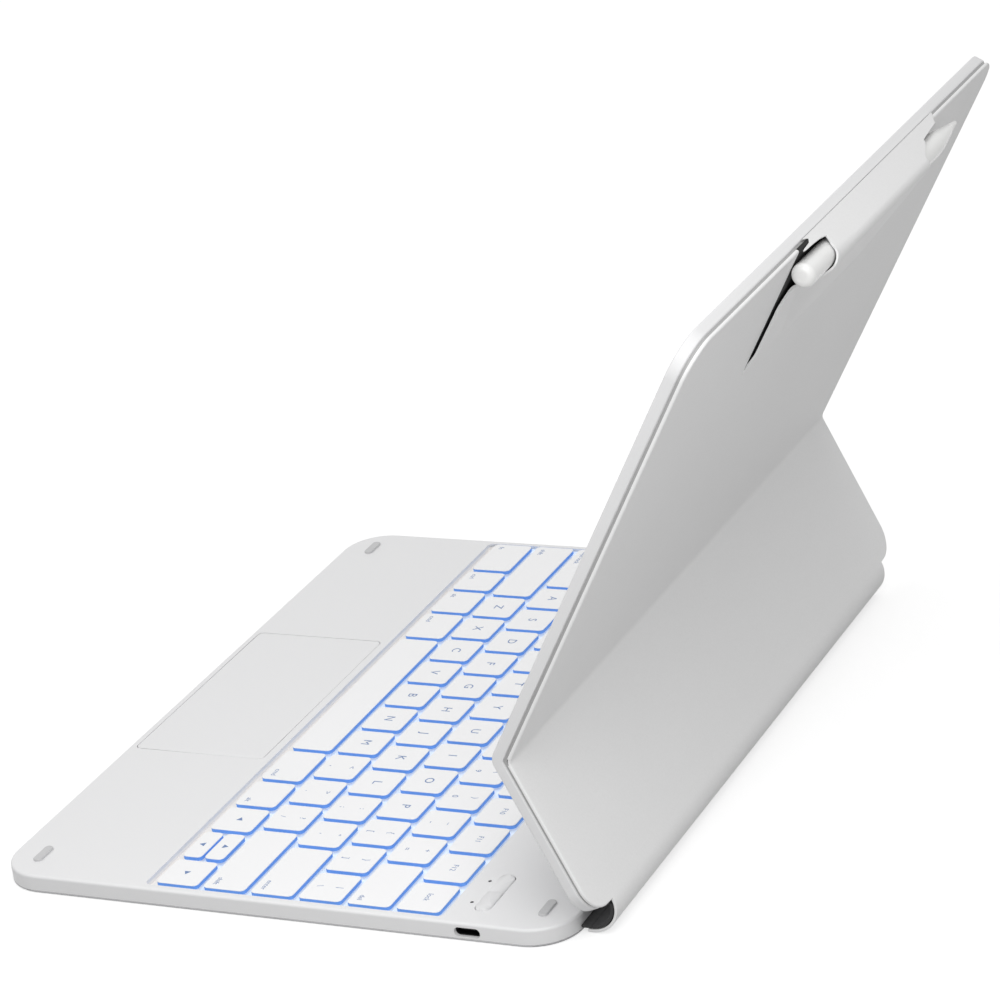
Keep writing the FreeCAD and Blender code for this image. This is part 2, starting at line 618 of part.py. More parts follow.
def make_spine():
    """Two layers of the flexible spine, which slide over each other as the cover swings."""
    x0, x1 = -SPINE_HALF, SPINE_HALF
    seam = 90 - OPEN_ANGLE
    skin = ring_sector(SPINE_RADIUS - SPINE_SKIN, SPINE_RADIUS, seam - SPINE_SKIN_LAP_ANGLE, 90, x0, x1)
    export("spine_skin", [open_lower(skin)])
    outer = SPINE_RADIUS - SPINE_SKIN - RUN_GAP
    inner = outer - SPINE_SKIN
    lining = ring_sector(inner, outer, -90, seam - SPINE_LINING_SETBACK_ANGLE, x0, x1)
    strip = box(x0, x1, REAR_Y, HINGE_Y, HINGE_Z - outer, HINGE_Z - inner)
    export("spine_lining", [lining.fuse(strip).removeSplitter()])


def panel_tray(y0, y1, front_radius, rear_radius):
    """Outer skin of a panel, grooved round its edges and hollow to hold the board and lining."""
    tray = plate(-HALF_W, HALF_W, y0, y1, INNER_Z, OUTER_Z, front_radius, rear_radius)
    tray = tray.makeChamfer(PANEL_EDGE_CUT, edges_at_height(tray, OUTER_Z))
    corners = front_radius, rear_radius
    low = BOARD_ROOF - EDGE_GROOVE_WIDTH
    groove = panel_inset(y0, y1, *corners, 0.0, low, BOARD_ROOF)
    groove = groove.cut(panel_inset(y0, y1, *corners, EDGE_GROOVE_DEPTH, low, BOARD_ROOF))
    pocket = panel_inset(y0, y1, *corners, SKIN_RIM, INNER_Z, BOARD_ROOF)
    return tray.cut([groove, pocket])


def panel_inset(y0, y1, front_radius, rear_radius, inset, z0, z1):
    """Plate inside a panel's outline."""
    return plate(-HALF_W + inset, HALF_W - inset, y0 + inset, y1 - inset, z0, z1,
                 max(front_radius - inset, 0), max(rear_radius - inset, 0))


def make_lower_panel():
    """Lower panel: skin, board with pockets for the hinge leaves, lining and crease bead."""
    y0, y1 = CREASE_Y + CREASE_GAP, HINGE_Y
    corner = 0.0, PANEL_FOOT_CORNER
    tray = panel_tray(y0, y1, *corner)
    mouth = box(-SPINE_HALF, SPINE_HALF, y1 - 2 * SKIN_RIM, y1, INNER_Z, BOARD_ROOF)
    export("lower_panel_skin", [open_lower(tray.cut(mouth))])
    inset = SKIN_RIM + FIT_GAP
    board = panel_inset(y0, y1, *corner, inset, BOARD_FLOOR, BOARD_ROOF)
    for side in (-1, 1):
        x = side * HINGE_X
        room = HINGE_LENGTH / 2 + FIT_GAP
        board = board.cut(box(x - room, x + room, y1 - PANEL_LEAF_REACH - FIT_GAP, y1,
                              BOARD_FLOOR, BOARD_FLOOR + PANEL_LEAF_THICK + FIT_GAP))
    export("lower_panel_board", [open_lower(board)])
    export("lower_panel_lining", [open_lower(panel_inset(y0, y1, *corner, inset, INNER_Z, BOARD_FLOOR))])
    export("crease_bead", [open_lower(rod(-HALF_W, HALF_W, CREASE_Y, CREASE_Z, CREASE_BEAD_RADIUS))])


def make_upper_panel():
    """Upper panel: skin, board with magnets that hold the tablet, and lining."""
    y0, y1 = COVER_TOP_Y, CREASE_Y - CREASE_GAP
    corner = PANEL_TOP_CORNER, 0.0
    export("upper_panel_skin", [open_upper(panel_tray(y0, y1, *corner))])
    inset = SKIN_RIM + FIT_GAP
    board = panel_inset(y0, y1, *corner, inset, BOARD_FLOOR, BOARD_ROOF)
    magnets = []
    length, width, thick = HOLD_MAGNET
    for row in HOLD_MAGNET_ROWS:
        for column in range(HOLD_MAGNET_COLUMNS):
            x = (column - (HOLD_MAGNET_COLUMNS - 1) / 2) * HOLD_MAGNET_STEP
            y = CREASE_Y - row
            magnets.append(box(x - length / 2, x + length / 2, y - width / 2, y + width / 2,
                               BOARD_FLOOR, BOARD_FLOOR + thick))
    export("upper_panel_board", [open_upper(board.cut(magnets))])
    export("tablet_magnets", [open_upper(magnet) for magnet in magnets])
    export("upper_panel_lining", [open_upper(panel_inset(y0, y1, *corner, inset, INNER_Z, BOARD_FLOOR))])


STYLUS_HEIGHT = RUN_GAP + STYLUS_RADIUS
STYLUS_UP = UPPER_LENGTH - STYLUS_BELOW_TOP


def slope_over_stylus(start, side):
    """Angle of a skin slope that leaves the panel at a place and just clears the stylus."""
    across = side * (STYLUS_UP - start)
    radius = STYLUS_RADIUS + RUN_GAP + SLEEVE_SKIN
    return math.atan2(STYLUS_HEIGHT, across) + math.asin(radius / math.hypot(across, STYLUS_HEIGHT))


def sleeve_solid(foot, top, rise, fall, ridge_round):
    """Solid under a skin that rises along one slope to a rounded ridge and falls along another."""
    height = (top - foot) / (1 / math.tan(rise) + 1 / math.tan(fall))
    ridge = foot + height / math.tan(rise)
    section = [(CREASE_Y - up, OUTER_Z + out) for up, out in ((foot, 0.0), (ridge, height), (top, 0.0))]
    solid = prism_along_x(section, SLEEVE_FAR_X, SLEEVE_NEAR_X)
    return solid.makeFillet(ridge_round, edges_at_height(solid, OUTER_Z + height))


def make_stylus_sleeve():
    """Skin sleeve raised along the top of the upper panel, open at both ends."""
    top = UPPER_LENGTH - SLEEVE_TOP_MARGIN
    foot = top - SLEEVE_DEPTH
    rise = slope_over_stylus(foot, 1)
    fall = slope_over_stylus(top, -1)
    outside = sleeve_solid(foot, top, rise, fall, SLEEVE_RIDGE_ROUND)
    inside = sleeve_solid(foot + SLEEVE_SKIN / math.sin(rise), top - SLEEVE_SKIN / math.sin(fall), rise, fall,
                          SLEEVE_RIDGE_ROUND - SLEEVE_SKIN)
    export("stylus_sleeve", [open_upper(outside.cut(inside))])


def make_stylus():
    """Round stylus barrel with a tapered nose and a rounded end, and its nib."""
    y = CREASE_Y - STYLUS_UP
    z = OUTER_Z + STYLUS_HEIGHT
    tip = STYLUS_END_X - STYLUS_LENGTH
    nib_root = tip + NIB_LENGTH
    profile = [(nib_root, 0.0), (nib_root, NIB_ROOT_RADIUS), (nib_root + STYLUS_TAPER, STYLUS_RADIUS)]
    for i in range(STYLUS_END_FACETS + 1):
        turn = math.pi / 2 * i / STYLUS_END_FACETS
        profile.append((STYLUS_END_X - STYLUS_END_ROUND * (1 - math.sin(turn)),
                        STYLUS_RADIUS - STYLUS_END_ROUND * (1 - math.cos(turn))))
    profile.append((STYLUS_END_X, 0.0))
    corners = [V(x, y, z + radius) for x, radius in profile]
    barrel = Part.Face(Part.makePolygon(corners + corners[:1])).revolve(V(0, y, z), X_AXIS, 360)
    export("stylus_barrel", [open_upper(barrel)])
    nib = Part.makeCone(NIB_TIP_RADIUS, NIB_ROOT_RADIUS, NIB_LENGTH, V(tip, y, z), X_AXIS)
    export("stylus_nib", [open_upper(nib)])


os.makedirs("parts", exist_ok=True)
make_keys()
make_key_layers()
make_touchpad()
make_buttons()
make_electronics()
make_base_shell()
make_hinges()
make_spine()
make_lower_panel()
make_upper_panel()
make_stylus_sleeve()
make_stylus()
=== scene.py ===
"""Looks of the tablet keyboard case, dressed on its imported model.

Metres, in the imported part's own frame: X to the typist's right, Y to the rear, Z up.
Cover pieces are modelled closed and flat, then swung to the stand pose by the hinge and crease.
"""
import json
import math
from collections import namedtuple

import bmesh
import bpy
from mathutils import Matrix, Vector


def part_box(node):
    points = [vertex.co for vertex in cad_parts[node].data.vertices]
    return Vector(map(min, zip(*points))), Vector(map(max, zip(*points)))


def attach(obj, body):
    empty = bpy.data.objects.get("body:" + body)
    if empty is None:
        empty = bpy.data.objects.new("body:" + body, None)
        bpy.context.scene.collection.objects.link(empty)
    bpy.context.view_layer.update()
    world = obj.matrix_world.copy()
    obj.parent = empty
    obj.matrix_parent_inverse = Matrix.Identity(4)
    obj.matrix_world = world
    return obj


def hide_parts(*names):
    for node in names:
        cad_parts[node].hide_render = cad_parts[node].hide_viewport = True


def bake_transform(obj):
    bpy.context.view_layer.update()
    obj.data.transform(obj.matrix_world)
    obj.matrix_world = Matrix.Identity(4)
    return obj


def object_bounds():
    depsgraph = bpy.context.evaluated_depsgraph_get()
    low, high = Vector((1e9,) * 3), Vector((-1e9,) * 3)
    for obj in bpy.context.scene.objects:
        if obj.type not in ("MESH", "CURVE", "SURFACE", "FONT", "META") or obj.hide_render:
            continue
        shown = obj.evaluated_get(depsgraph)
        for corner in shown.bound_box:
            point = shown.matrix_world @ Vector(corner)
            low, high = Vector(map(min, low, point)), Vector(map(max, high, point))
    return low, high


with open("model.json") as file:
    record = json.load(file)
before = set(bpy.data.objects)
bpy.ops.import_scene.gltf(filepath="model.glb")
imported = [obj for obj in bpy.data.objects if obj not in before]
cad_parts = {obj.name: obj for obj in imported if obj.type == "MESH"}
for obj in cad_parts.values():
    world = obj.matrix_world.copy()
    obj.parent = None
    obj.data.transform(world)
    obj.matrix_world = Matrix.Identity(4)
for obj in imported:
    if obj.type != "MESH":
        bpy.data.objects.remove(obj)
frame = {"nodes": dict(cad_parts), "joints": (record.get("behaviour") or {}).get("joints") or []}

bl_info = {
    "name": "Tablet keyboard case",
    "version": (1, 0, 0),
    "blender": (4, 5, 0),
    "location": "View3D > Sidebar > Keyboard case",
    "description": "Dresses the packed keyboard case with keys, skins, sleeve and stage",
    "category": "Object",
}

CAD_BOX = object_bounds()
NODES = frame["nodes"]
JOINTS = {joint["name"]: joint for joint in frame["joints"]}
MM = 0.001
# Distance within which two places are taken as one
NEAR = 1e-6
# Cosine past which a face looks along an axis, and below which it stands across one
FACING, ACROSS = 0.99, 0.5
# Places of the axes in a vector
X, Y, Z = 0, 1, 2

# Hinge and crease of the cover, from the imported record
HINGE = Vector(JOINTS["cover_hinge"]["pos_m"])
OPEN_ANGLE = math.radians(JOINTS["cover_hinge"]["range_deg"][1])
CREASE = Vector(JOINTS["crease_fold"]["pos_m"])
FOLD_ANGLE = math.radians(JOINTS["crease_fold"]["range_deg"][1])


def turn_about(point, angle):
    """Turn about an axis along X through a point."""
    return Matrix.Translation(point) @ Matrix.Rotation(angle, 4, "X") @ Matrix.Translation(-point)


LOWER_REST = turn_about(HINGE, -OPEN_ANGLE)
CREASE_CLOSED = LOWER_REST.inverted() @ CREASE
UPPER_REST = LOWER_REST @ turn_about(CREASE_CLOSED, -FOLD_ANGLE)

# Keys of the grouped nodes from the left: share of the row and the marks on the cap
LETTERS_TOP = [(1.0, mark) for mark in "QWERTYUIOP"]
LETTERS_HOME = [(1.0, mark) for mark in "ASDFGHJKL"]
LETTERS_BOTTOM = [(1.0, mark) for mark in "ZXCVBNM"]
NUMBER_PAIRS = ("!1", "@2", "#3", "$4", "%5", "^6", "&7", "*8", "(9", ")0", "_-", "+=")
KEY_GROUPS = {
    "keys_bottom_letters": LETTERS_BOTTOM + [(1.0, "<,"), (1.0, ">."), (1.0, "?/")],
    "keys_home_letters": LETTERS_HOME + [(1.0, ":;"), (1.0, "\"'")],
    "keys_top_letters": LETTERS_TOP + [(1.0, "{["), (1.0, "}]"), (1.03, "|\\")],
    "keys_number_row": [(1.14, "~`")] + [(1.0, pair) for pair in NUMBER_PAIRS],
    "keys_function_row": [(1.0, "esc")] + [(1.0, "F%d" % n) for n in range(1, 13)] + [(1.0, "lock")],
}

# Single keys: the word on the cap and the side it is set to
SINGLE_KEYS = {
    "key_fn": ("fn", "LEFT"), "key_control": ("ctrl", "LEFT"), "key_alt_left": ("alt", "LEFT"),
    "key_meta_left": ("cmd", "LEFT"), "key_space": ("", "CENTER"), "key_meta_right": ("cmd", "RIGHT"),
    "key_alt_right": ("alt", "RIGHT"), "key_shift_left": ("shift", "LEFT"),
    "key_shift_right": ("shift", "RIGHT"), "key_caps_lock": ("caps lock", "LEFT"),
    "key_return": ("enter", "RIGHT"), "key_tab": ("tab", "LEFT"), "key_delete": ("del", "RIGHT"),
}

# Arrow keys: turn of their triangle in degrees, 0 pointing to the rear
ARROW_KEYS = {"key_arrow_up": 0, "key_arrow_left": 90, "key_arrow_down": 180, "key_arrow_right": 270}

ALL_KEYS = (*SINGLE_KEYS, *ARROW_KEYS, *KEY_GROUPS)


def length(name, default, description):
    """Size property, given in millimetres and kept in metres."""
    return bpy.props.FloatProperty(name=name, description=description, default=default * MM, min=0.0,
                                   unit="LENGTH", precision=5)


def colour(name, default, description):
    """Colour property."""
    return bpy.props.FloatVectorProperty(name=name, description=description, default=default, size=3,
                                         min=0.0, max=1.0, subtype="COLOR")


def level(name, default, description):
    """Strength property of a light."""
    return bpy.props.FloatProperty(name=name, description=description, default=default, min=0.0)


class CaseSizes(bpy.types.PropertyGroup):
    """Sizes of the dressed pieces."""
    key_gap: length("Key gap", 2.2, "Gap between neighbouring keycaps")
    cap_corner: length("Cap corner", 1.8, "Radius of a keycap's upright corners")
    cap_edge: length("Cap edge", 0.22, "Round along a keycap's top edge")
    cap_wall: length("Cap wall", 0.9, "Wall round the hollow under a keycap")
    cap_hollow: length("Cap hollow", 0.8, "Depth of the hollow that clears the links and the dome")
    bumper_length: length("Bumper length", 10.0, "Length of a deck bumper")
    bumper_width: length("Bumper width", 3.2, "Width of a deck bumper")
    bumper_corner: length("Bumper corner", 1.5, "Radius of a bumper's upright corners")
    bumper_edge: length("Bumper edge", 0.35, "Round along a bumper's top edge")
    letter_height: length("Letter height", 4.8, "Size of the letters on the caps")
    word_height: length("Word height", 2.8, "Size of the words on the caps")
    mark_inset: length("Mark inset", 2.4, "Distance of a word from the cap's sides")
    panel_thick: length("Panel thickness", 6.0, "Thickness of the cover panels")
    upper_length: length("Upper panel", 160.5, "Length of the upper panel from the crease")
    crease_gap: length("Crease gap", 1.2, "Gap from a panel's end to the crease line")
    top_corner: length("Top corner", 12.5, "Radius of the upper panel's corners")
    foot_corner: length("Foot corner", 10.0, "Radius of the lower panel's corners")
    skin_thick: length("Rear skin", 1.2, "Thickness of the panels' rear skin")
    skin_round: length("Skin round", 0.6, "Round along the rear skin's edge")
    groove_width: length("Groove width", 0.9, "Width of the groove between rear skin and front frame")
    groove_depth: length("Groove depth", 0.6, "Depth of the groove round a panel's edge")
    frame_round: length("Frame round", 0.6, "Round along the front frame's edges")
    lining_inset: length("Lining inset", 1.25, "Width of the front frame round the lining")
    lining_thick: length("Lining thickness", 0.8, "Thickness of the lining")
    spine_radius: length("Spine radius", 9.6, "Outer radius of the rear spine")
    spine_skin: length("Spine skin", 1.0, "Thickness of each layer of the spine")
    spine_layer_gap: length("Layer gap", 0.3, "Gap between the two layers of the spine")
    sleeve_skin: length("Sleeve skin", 0.7, "Thickness of the stylus sleeve")
    sleeve_depth: length("Sleeve depth", 48.5, "Width of the sleeve from its foot to its top")
    sleeve_tuck: length("Sleeve tuck", 1.9, "Depth of the sleeve's top edge below the panel's rear face")
    sleeve_pinch: length("Sleeve pinch", 32.0, "How far the foot draws up to the stylus at the mouth")
    sleeve_lift: length("Mouth lift", 1.5, "Height of the sleeve's open edge over the panel")
    ridge_round: length("Ridge round", 3.2, "Radius of the sleeve's ridge")
    stylus_radius: length("Stylus radius", 4.0, "Radius of the stylus barrel")
    stylus_below_top: length("Stylus drop", 6.5, "Distance of the stylus axis from the panel's top edge")
    stylus_gap: length("Stylus gap", 0.3, "Running gap round the stylus")
    stylus_taper: length("Stylus taper", 16.0, "Length of the stylus's tapered nose")
    stylus_end_round: length("Stylus end", 2.4, "Round at the stylus's flat end")
    nib_radius: length("Nib radius", 1.6, "Radius of the nib at its root")


class CaseColours(bpy.types.PropertyGroup):
    """Colours of the finishes."""
    shell: colour("Shell", (0.84, 0.84, 0.845), "Satin shell of the base")
    underside: colour("Underside", (0.50, 0.50, 0.51), "Bottom cover")
    cap: colour("Keycap", (0.95, 0.95, 0.955), "Top of the keycaps")
    glow: colour("Glow", (0.13, 0.31, 0.75), "Backlight on the sides of the keycaps")
    well: colour("Key well", (0.80, 0.87, 0.97), "Lit floor under the keys")
    mark: colour("Marks", (0.17, 0.27, 0.50), "Letters on the keycaps")
    skin: colour("Skin", (0.90, 0.90, 0.90), "Grained skin of the cover")
    # The groove's tone is darker than the skin's: painted shade in the recess.
    groove: colour("Groove", (0.42, 0.42, 0.42), "Groove round the edge of the panels")
    rim: colour("Rim", (0.79, 0.79, 0.795), "Smooth rim of the panels")
    lining: colour("Lining", (0.56, 0.56, 0.57), "Brushed lining on the tablet's side")
    stylus: colour("Stylus", (0.91, 0.91, 0.90), "Stylus barrel")


class CaseStage(bpy.types.PropertyGroup):
    """Camera and light."""
    lens: bpy.props.FloatProperty(name="Lens", description="Focal length in millimetres", default=135.3,
                                  min=1.0)
    roll: bpy.props.FloatProperty(name="Roll", description="Turn of the camera about its view line",
                                  default=math.radians(-8.1), subtype="ANGLE")
    sky: level("Sky", 0.50, "Strength of the even light")
    sun: level("Sun", 0.55, "Strength of the sun from the rear")
    front: level("Front sun", 0.42, "Strength of the sun from the front")
    lamp: level("Lamp", 1.45, "Power of the soft lamp at the right end")


def sizes():
    return bpy.context.scene.case_sizes


def colours():
    return bpy.context.scene.case_colours


# Modelling helpers

def only(obj):
    """Select one object alone and make it active."""
    bpy.ops.object.select_all(action="DESELECT")
    obj.select_set(True)
    bpy.context.view_layer.objects.active = obj


def added(name, add, **settings):
    """Object made by an add operator, with its place, turn and scale in its mesh."""
    bpy.ops.object.select_all(action="DESELECT")
    add(**settings)
    obj = bpy.context.object
    obj.name = name
    bpy.ops.object.transform_apply()
    return obj


def block(name, low, high):
    """Block between two corners."""
    low, high = Vector(low), Vector(high)
    return added(name, bpy.ops.mesh.primitive_cube_add, size=1.0, location=(low + high) / 2, scale=high - low)


def edit(obj):
    """Enter edit mode on one object with nothing selected."""
    only(obj)
    bpy.ops.object.mode_set(mode="EDIT")
    bpy.ops.mesh.select_mode(type="EDGE")
    bpy.ops.mesh.select_all(action="DESELECT")


def leave_edit():
    bpy.ops.object.mode_set(mode="OBJECT")


def pick(obj, kind, test):
    """Select the edges or faces that pass a test and raise if there are none."""
    mesh = bmesh.from_edit_mesh(obj.data)
    bpy.ops.mesh.select_mode(type=kind)
    bpy.ops.mesh.select_all(action="DESELECT")
    found = [part for part in (mesh.edges if kind == "EDGE" else mesh.faces) if test(part)]
    for part in found:
        part.select_set(True)
    bmesh.update_edit_mesh(obj.data)
    if not found:
        raise RuntimeError("nothing to shape on " + obj.name)


def bevel(obj, test, width, segments, material=-1):
    """Round the edges that pass a test of their two ends."""
    pick(obj, "EDGE", lambda edge: test(edge.verts[0].co, edge.verts[1].co))
    bpy.ops.mesh.bevel(offset=width, segments=segments, affect="EDGES", material=material)


def pick_faces(obj, test):
    """Select the faces that pass a test of their normal."""
    pick(obj, "FACE", lambda face: test(face.normal))


def upright(a, b):
    return abs(a.x - b.x) < NEAR and abs(a.y - b.y) < NEAR


def both_at(axis, place):
    """Test for edges whose two ends lie at one place along an axis."""
    return lambda a, b: abs(a[axis] - place) < NEAR and abs(b[axis] - place) < NEAR


def at_height(z):
    """Test for edges that lie at one height."""
    return both_at(Z, z)


def shaped(obj, kind, **settings):
    """Add a modifier with its settings and apply it."""
    modifier = obj.modifiers.new(kind.lower(), kind)
    for name, value in settings.items():
        setattr(modifier, name, value)
    only(obj)
    bpy.ops.object.modifier_apply(modifier=modifier.name)


def smooth(obj, degrees=35):
    """Smooth shading with crisp edges past an angle, and flats that stay flat."""
    only(obj)
    bpy.ops.object.shade_smooth_by_angle(angle=math.radians(degrees))
    shaped(obj, "WEIGHTED_NORMAL", keep_sharp=True)


def swing(obj, matrix):
    """Turn a closed cover piece to the stand pose and keep the turn in its mesh."""
    only(obj)
    obj.matrix_world = matrix
    bpy.ops.object.transform_apply()


def joined(objects, name):
    """Join pieces into one object."""
    bpy.ops.object.select_all(action="DESELECT")
    for obj in objects:
        obj.select_set(True)
    bpy.context.view_layer.objects.active = objects[0]
    if len(objects) > 1:
        bpy.ops.object.join()
    objects[0].name = name
    return objects[0]


def settle(obj, name, body, material=None, stands_for=()):
    """Name a finished piece and tie it to its body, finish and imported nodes."""
    obj.name = name
    obj.data.name = name
    if material is not None:
        wear(obj, material)
    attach(obj, body)
    for node in stands_for:
        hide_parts(node)
    return obj


def smoothed_copy(node, name, body, material):
    """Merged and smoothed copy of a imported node, which stands for it."""
    obj = bpy.data.objects.new(name, NODES[node].data.copy())
    bpy.context.scene.collection.objects.link(obj)
    edit(obj)
    bpy.ops.mesh.select_all(action="SELECT")
    bpy.ops.mesh.remove_doubles(threshold=NEAR)
    leave_edit()
    smooth(obj)
    return settle(obj, name, body, material, (node,))


# Share of the pebbles' tops in the skin's tone, and stretch of the nap's fibres along X
LIGHTER_TOPS = 0.35
FIBRE_LAY = (1.0, 0.25, 0.25)
# Reach of the strip in front of the keys, its tone and its painted glow, which lightens the shade there, and
# strength of the backlight
STRIP_START, STRIP_END = 1.0 * MM, 0.2 * MM
STRIP_TONE = (0.80, 0.77, 0.73, 1.0)
STRIP_PAINTED_GLOW = (0.5, 0.48, 0.44, 1.0)
BACKLIGHT = 0.25
WHITE = (1.0, 1.0, 1.0, 1.0)

# A finish: its grain group, tone or colour property, share of the tone in its dark parts, scales of its grain
# and drift, range of its roughness, and strength of its bump and depth in metres
Finish = namedtuple("Finish", "group tone spread grain drift roughness bump depth", defaults=(0.00006,))
FINISHES = {
    "Satin shell": ("satin", "shell", 0.96, 3200.0, 9.0, (0.40, 0.50), 0.10),
    "Bottom cover": ("satin", "underside", 0.93, 2400.0, 12.0, (0.5, 0.62), 0.10),
    "Button satin": ("satin", "shell", 0.95, 3000.0, 80.0, (0.30, 0.42), 0.05),
    "Bumper rubber": ("satin", (0.62, 0.62, 0.625), 0.9, 2600.0, 120.0, (0.6, 0.7), 0.2),
    "Keycap white": ("satin", "cap", 0.975, 3600.0, 60.0, (0.45, 0.55), 0.08),
    "Keycap lit side": ("satin", "glow", 0.8, 900.0, 120.0, (0.5, 0.6), 0.05),
    "Lit key well": ("satin", "well", 0.93, 1500.0, 90.0, (0.5, 0.6), 0.05),
    "Key marks": ("satin", "mark", 0.8, 4000.0, 200.0, (0.5, 0.6), 0.02),
    "Cover skin": ("skin", "skin", 0.93, 1500.0, 11.0, (0.52, 0.64), 0.12, 0.00008),
    # The groove wears the skin's grain in a darker tone, as painted shade in the recess.
    "Cover groove": ("skin", "groove", 0.9, 1500.0, 11.0, (0.6, 0.7), 0.12, 0.00008),
    "Cover rim": ("satin", "rim", 0.96, 2400.0, 20.0, (0.42, 0.52), 0.06),
    "Cover lining": ("nap", "lining", 0.86, 3000.0, 24.0, (0.85, 0.95), 0.25, 0.00012),
    # The spine's lining is painted near black, as painted shade in the hollow round the hinge.
    "Spine lining": ("nap", (0.05, 0.05, 0.052), 0.7, 2500.0, 40.0, (0.85, 0.95), 0.2),
    # Near-black painted shade for the inside of the sleeve and the patch under it.
    "Dark hollow": ("nap", (0.012, 0.012, 0.012), 0.5, 1500.0, 60.0, (0.85, 0.95), 0.1),
    "Stylus white": ("satin", "stylus", 0.98, 2000.0, 30.0, (0.22, 0.30), 0.02),
    "Nib": ("satin", "stylus", 0.95, 2500.0, 100.0, (0.4, 0.5), 0.05),
    "Smoked lamp": ("satin", (0.03, 0.03, 0.035), 0.7, 2000.0, 300.0, (0.2, 0.3), 0.02),
    "Port metal": ("satin", (0.02, 0.02, 0.022), 0.6, 2000.0, 300.0, (0.3, 0.4), 0.05),
    "Hinge steel": ("satin", (0.42, 0.42, 0.43), 0.8, 1800.0, 90.0, (0.28, 0.45), 0.1),
    "Circuit board": ("satin", (0.02, 0.12, 0.06), 0.7, 900.0, 60.0, (0.4, 0.5), 0.1),
    "Battery wrap": ("satin", (0.06, 0.06, 0.065), 0.75, 1200.0, 30.0, (0.35, 0.5), 0.1),
    "Dome rubber": ("satin", (0.55, 0.57, 0.60), 0.9, 1500.0, 90.0, (0.6, 0.7), 0.1),
    "Link plastic": ("satin", (0.78, 0.80, 0.84), 0.9, 1500.0, 90.0, (0.4, 0.5), 0.05),
    "Clear film": ("satin", (0.66, 0.70, 0.74), 0.9, 700.0, 40.0, (0.2, 0.3), 0.02),
    "Light guide": ("satin", (0.82, 0.87, 0.93), 0.95, 700.0, 40.0, (0.3, 0.4), 0.02),
    "Magnet plate": ("satin", (0.46, 0.46, 0.47), 0.8, 1800.0, 60.0, (0.25, 0.4), 0.05),
    "Panel board": ("nap", (0.36, 0.34, 0.31), 0.8, 1500.0, 30.0, (0.8, 0.9), 0.1),
    "Pale floor": ("satin", (0.48, 0.48, 0.48), 0.99, 60.0, 1.0, (0.8, 0.9), 0.02),
}
METALLIC = {"Port metal": 0.6, "Hinge steel": 1.0, "Magnet plate": 1.0}

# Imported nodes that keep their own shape, by the finish they wear: outside, and inside the base and panels
OUTER_PARTS = {"Smoked lamp": ("indicator_lights",), "Port metal": ("usb_c_socket",)}
INNER_PARTS = {
    "Hinge steel": ("hinge_base_leaves", "hinge_cover_leaves", "hinge_pins", "hinge_screws", "tact_switches",
                    "keyboard_support_plate", "touchpad_channel"),
    "Circuit board": ("main_board", "touchpad_board"),
    "Battery wrap": ("battery_left", "battery_right"),
    "Dome rubber": ("rubber_domes",),
    "Link plastic": ("scissor_links",),
    "Clear film": ("switch_membrane",),
    "Light guide": ("backlight_sheet",),
    "Magnet plate": ("closing_magnets", "tablet_magnets"),
    "Panel board": ("lower_panel_board", "upper_panel_board"),
}


def grain_group(name, detail):
    """Start of a grained finish's group: its ends, places on the object, and a slow drift of some detail."""
    group = bpy.data.node_groups.new(name, "ShaderNodeTree")
    inputs = (("Light", "Color"), ("Dark", "Color"), ("Grain Scale", "Float"), ("Drift Scale", "Float"))
    outputs = (("Color", "Color"), ("Height", "Float"), ("Drift", "Float"))
    for way, sockets in (("INPUT", inputs), ("OUTPUT", outputs)):
        for label, kind in sockets:
            group.interface.new_socket(label, in_out=way, socket_type="NodeSocket" + kind)
    start, end = group.nodes.new("NodeGroupInput"), group.nodes.new("NodeGroupOutput")
    place = add_node(group, "TexCoord").outputs["Object"]
    drift = scaled(group, add_node(group, "TexNoise", Detail=detail), place, start.outputs["Drift Scale"])
    wire(group, (drift, "Fac", end, "Drift"))
    return group, start, end, place, drift.outputs["Fac"]


def set_inputs(node, **values):
    """Set some of a node's input sockets."""
    for label, value in values.items():
        node.inputs[label.replace("_", " ")].default_value = value
    return node


def add_node(tree, kind, **values):
    """Node with some of its input sockets set."""
    return set_inputs(tree.nodes.new("ShaderNode" + kind), **values)


def wire(tree, *rows):
    """Link nodes, each row from an output of one to an input of another."""
    for start, output, end, label in rows:
        tree.links.new(start.outputs[output], end.inputs[label])


def feed(tree, term, socket):
    """Link a socket to another, or set it to a plain value."""
    if isinstance(term, bpy.types.NodeSocket):
        tree.links.new(term, socket)
    else:
        socket.default_value = term


def worked_out(tree, operation, *terms):
    """Value of a sum, product or the like of sockets and plain numbers."""
    node = tree.nodes.new("ShaderNodeMath")
    node.operation = operation
    for term, socket in zip(terms, node.inputs):
        feed(tree, term, socket)
    return node.outputs["Value"]


def mixed(tree, share, start, end):
    """Colour at a share of the way between two."""
    mix = tree.nodes.new("ShaderNodeMix")
    mix.data_type = "RGBA"
    for term, label in ((share, "Factor"), (start, "A"), (end, "B")):
        feed(tree, term, mix.inputs[label])
    return mix.outputs["Result"]


def scaled(tree, texture, place, scale):
    """Texture laid out over a place at a scale."""
    tree.links.new(place, texture.inputs["Vector"])
    tree.links.new(scale, texture.inputs["Scale"])
    return texture


def give_out(group, start, end, share, height):
    """Mix a group's two tones by a share, and link its colour and height."""
    group.links.new(mixed(group, share, start.outputs["Dark"], start.outputs["Light"]), end.inputs["Color"])
    group.links.new(height, end.inputs["Height"])
    return group


def satin_group():
    """Moulded satin plastic: fine spark height and a slow drift between two tones."""
    group, start, end, place, drift = grain_group("Satin plastic", detail=3.0)
    grain = scaled(group, add_node(group, "TexNoise", Detail=2.0), place, start.outputs["Grain Scale"])
    return give_out(group, start, end, drift, grain.outputs["Fac"])


